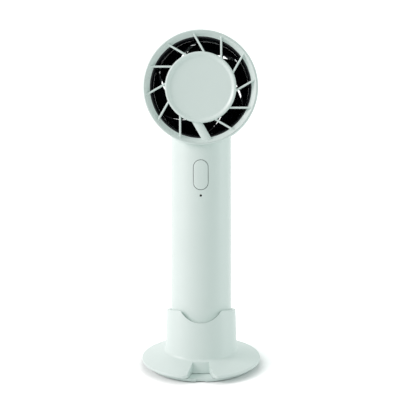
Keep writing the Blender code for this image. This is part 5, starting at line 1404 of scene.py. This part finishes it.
def make_camera():
    """The photograph's view: from the front, a little above the object's middle."""
    back = direction(VIEW_AZIMUTH, VIEW_HEIGHT)
    across = Vector((-back.y, back.x, 0)).normalized()
    shift_across, shift_up = VIEW_SHIFT
    target = VIEW_CENTRE * up + shift_across * across + shift_up * back.cross(across)
    data = bpy.data.cameras.new("camera")
    data.lens = VIEW_LENS
    data.sensor_width = 36
    data.clip_start = 0.05
    data.clip_end = 20
    camera = new_object("camera", data)
    camera.location = target + VIEW_DISTANCE * back
    roll = Matrix.Rotation(VIEW_ROLL, 4, "Z")
    camera.rotation_euler = ((-back).to_track_quat("-Z", "Y").to_matrix().to_4x4() @ roll).to_euler()
    bpy.context.scene.camera = camera


class FAN_OT_stand(bpy.types.Operator):
    """Make the stand's shell and its cover"""

    bl_idname = "fan.stand"
    bl_label = "Stand"

    def execute(self, context):
        shell = context.scene.fan_colours.shell
        make_base_shell(context.scene.fan_sizes, shell_plastic("stand plastic", shell))
        make_base_cover(shell_plastic("stand cover plastic", shell))
        return {"FINISHED"}


class FAN_OT_housing(bpy.types.Operator):
    """Make both halves of the housing and the cap under the handle"""

    bl_idname = "fan.housing"
    bl_label = "Housing"

    def execute(self, context):
        shell = context.scene.fan_colours.shell
        make_housing(shell_plastic("housing plastic", shell))
        make_end_cap(shell_plastic("end cap plastic", shell))
        return {"FINISHED"}


class FAN_OT_controls(bpy.types.Operator):
    """Make the power button and the lens of the indicator"""

    bl_idname = "fan.controls"
    bl_label = "Button and indicator"

    def execute(self, context):
        colours = context.scene.fan_colours
        make_button(context.scene.fan_sizes, shell_plastic("button plastic", colours.shell, 0.32))
        make_light_pipe(smoked_lens("indicator lens", colours.lens))
        return {"FINISHED"}


class FAN_OT_grilles(bpy.types.Operator):
    """Make the swirled front grille and the intake grille at the back"""

    bl_idname = "fan.grilles"
    bl_label = "Grilles"

    def execute(self, context):
        shell = context.scene.fan_colours.shell
        make_front_grille(context.scene.fan_sizes, shell_plastic("grille plastic", shell))
        make_rear_grille(shell_plastic("intake plastic", shell))
        return {"FINISHED"}


class FAN_OT_air_way(bpy.types.Operator):
    """Make the air duct and the impeller in it"""

    bl_idname = "fan.air_way"
    bl_label = "Duct and impeller"

    def execute(self, context):
        colours = context.scene.fan_colours
        make_air_duct(black_plastic("duct plastic", colours.duct, 0.34, 0.30))
        make_impeller(context.scene.fan_sizes, black_plastic("blade plastic", colours.blade, 0.16, 0.40))
        return {"FINISHED"}


class FAN_OT_inner_finishes(bpy.types.Operator):
    """Give the motor, battery, boards, screws and leads their materials"""

    bl_idname = "fan.inner_finishes"
    bl_label = "Finishes of the inner pieces"

    def execute(self, context):
        dress_nodes(context.scene.fan_colours)
        return {"FINISHED"}


class FAN_OT_stage(bpy.types.Operator):
    """Make the floor, the lights, the world and the camera"""

    bl_idname = "fan.stage"
    bl_label = "Stage"

    def execute(self, context):
        make_floor(context.scene.fan_colours.floor)
        make_world()
        for lamp in LAMPS:
            area_light(*lamp)
        make_camera()
        context.scene.view_settings.view_transform = "Standard"
        return {"FINISHED"}


class FAN_PT_panel(bpy.types.Panel):
    """Sizes, colours and pieces of the fan"""

    bl_idname = "FAN_PT_panel"
    bl_label = "Portable fan"
    bl_space_type = "VIEW_3D"
    bl_region_type = "UI"
    bl_category = "Portable fan"

    def draw(self, context):
        for group in (context.scene.fan_sizes, context.scene.fan_colours):
            column = self.layout.column()
            for name in group.__annotations__:
                column.prop(group, name)
        for operator in OPERATORS:
            self.layout.operator(operator.bl_idname)


OPERATORS = (
    FAN_OT_stand,
    FAN_OT_housing,
    FAN_OT_controls,
    FAN_OT_grilles,
    FAN_OT_air_way,
    FAN_OT_inner_finishes,
    FAN_OT_stage,
)


def register():
    for item in (FanSizes, FanColours, *OPERATORS, FAN_PT_panel):
        bpy.utils.register_class(item)
    bpy.types.Scene.fan_sizes = PointerProperty(type=FanSizes)
    bpy.types.Scene.fan_colours = PointerProperty(type=FanColours)


def unregister():
    del bpy.types.Scene.fan_colours
    del bpy.types.Scene.fan_sizes
    for item in reversed((FanSizes, FanColours, *OPERATORS, FAN_PT_panel)):
        bpy.utils.unregister_class(item)


def main():
    register()
    bpy.ops.fan.stand()
    bpy.ops.fan.housing()
    bpy.ops.fan.controls()
    bpy.ops.fan.grilles()
    bpy.ops.fan.air_way()
    bpy.ops.fan.inner_finishes()
    bpy.ops.fan.stage()


if __name__ == "__main__":
    main()
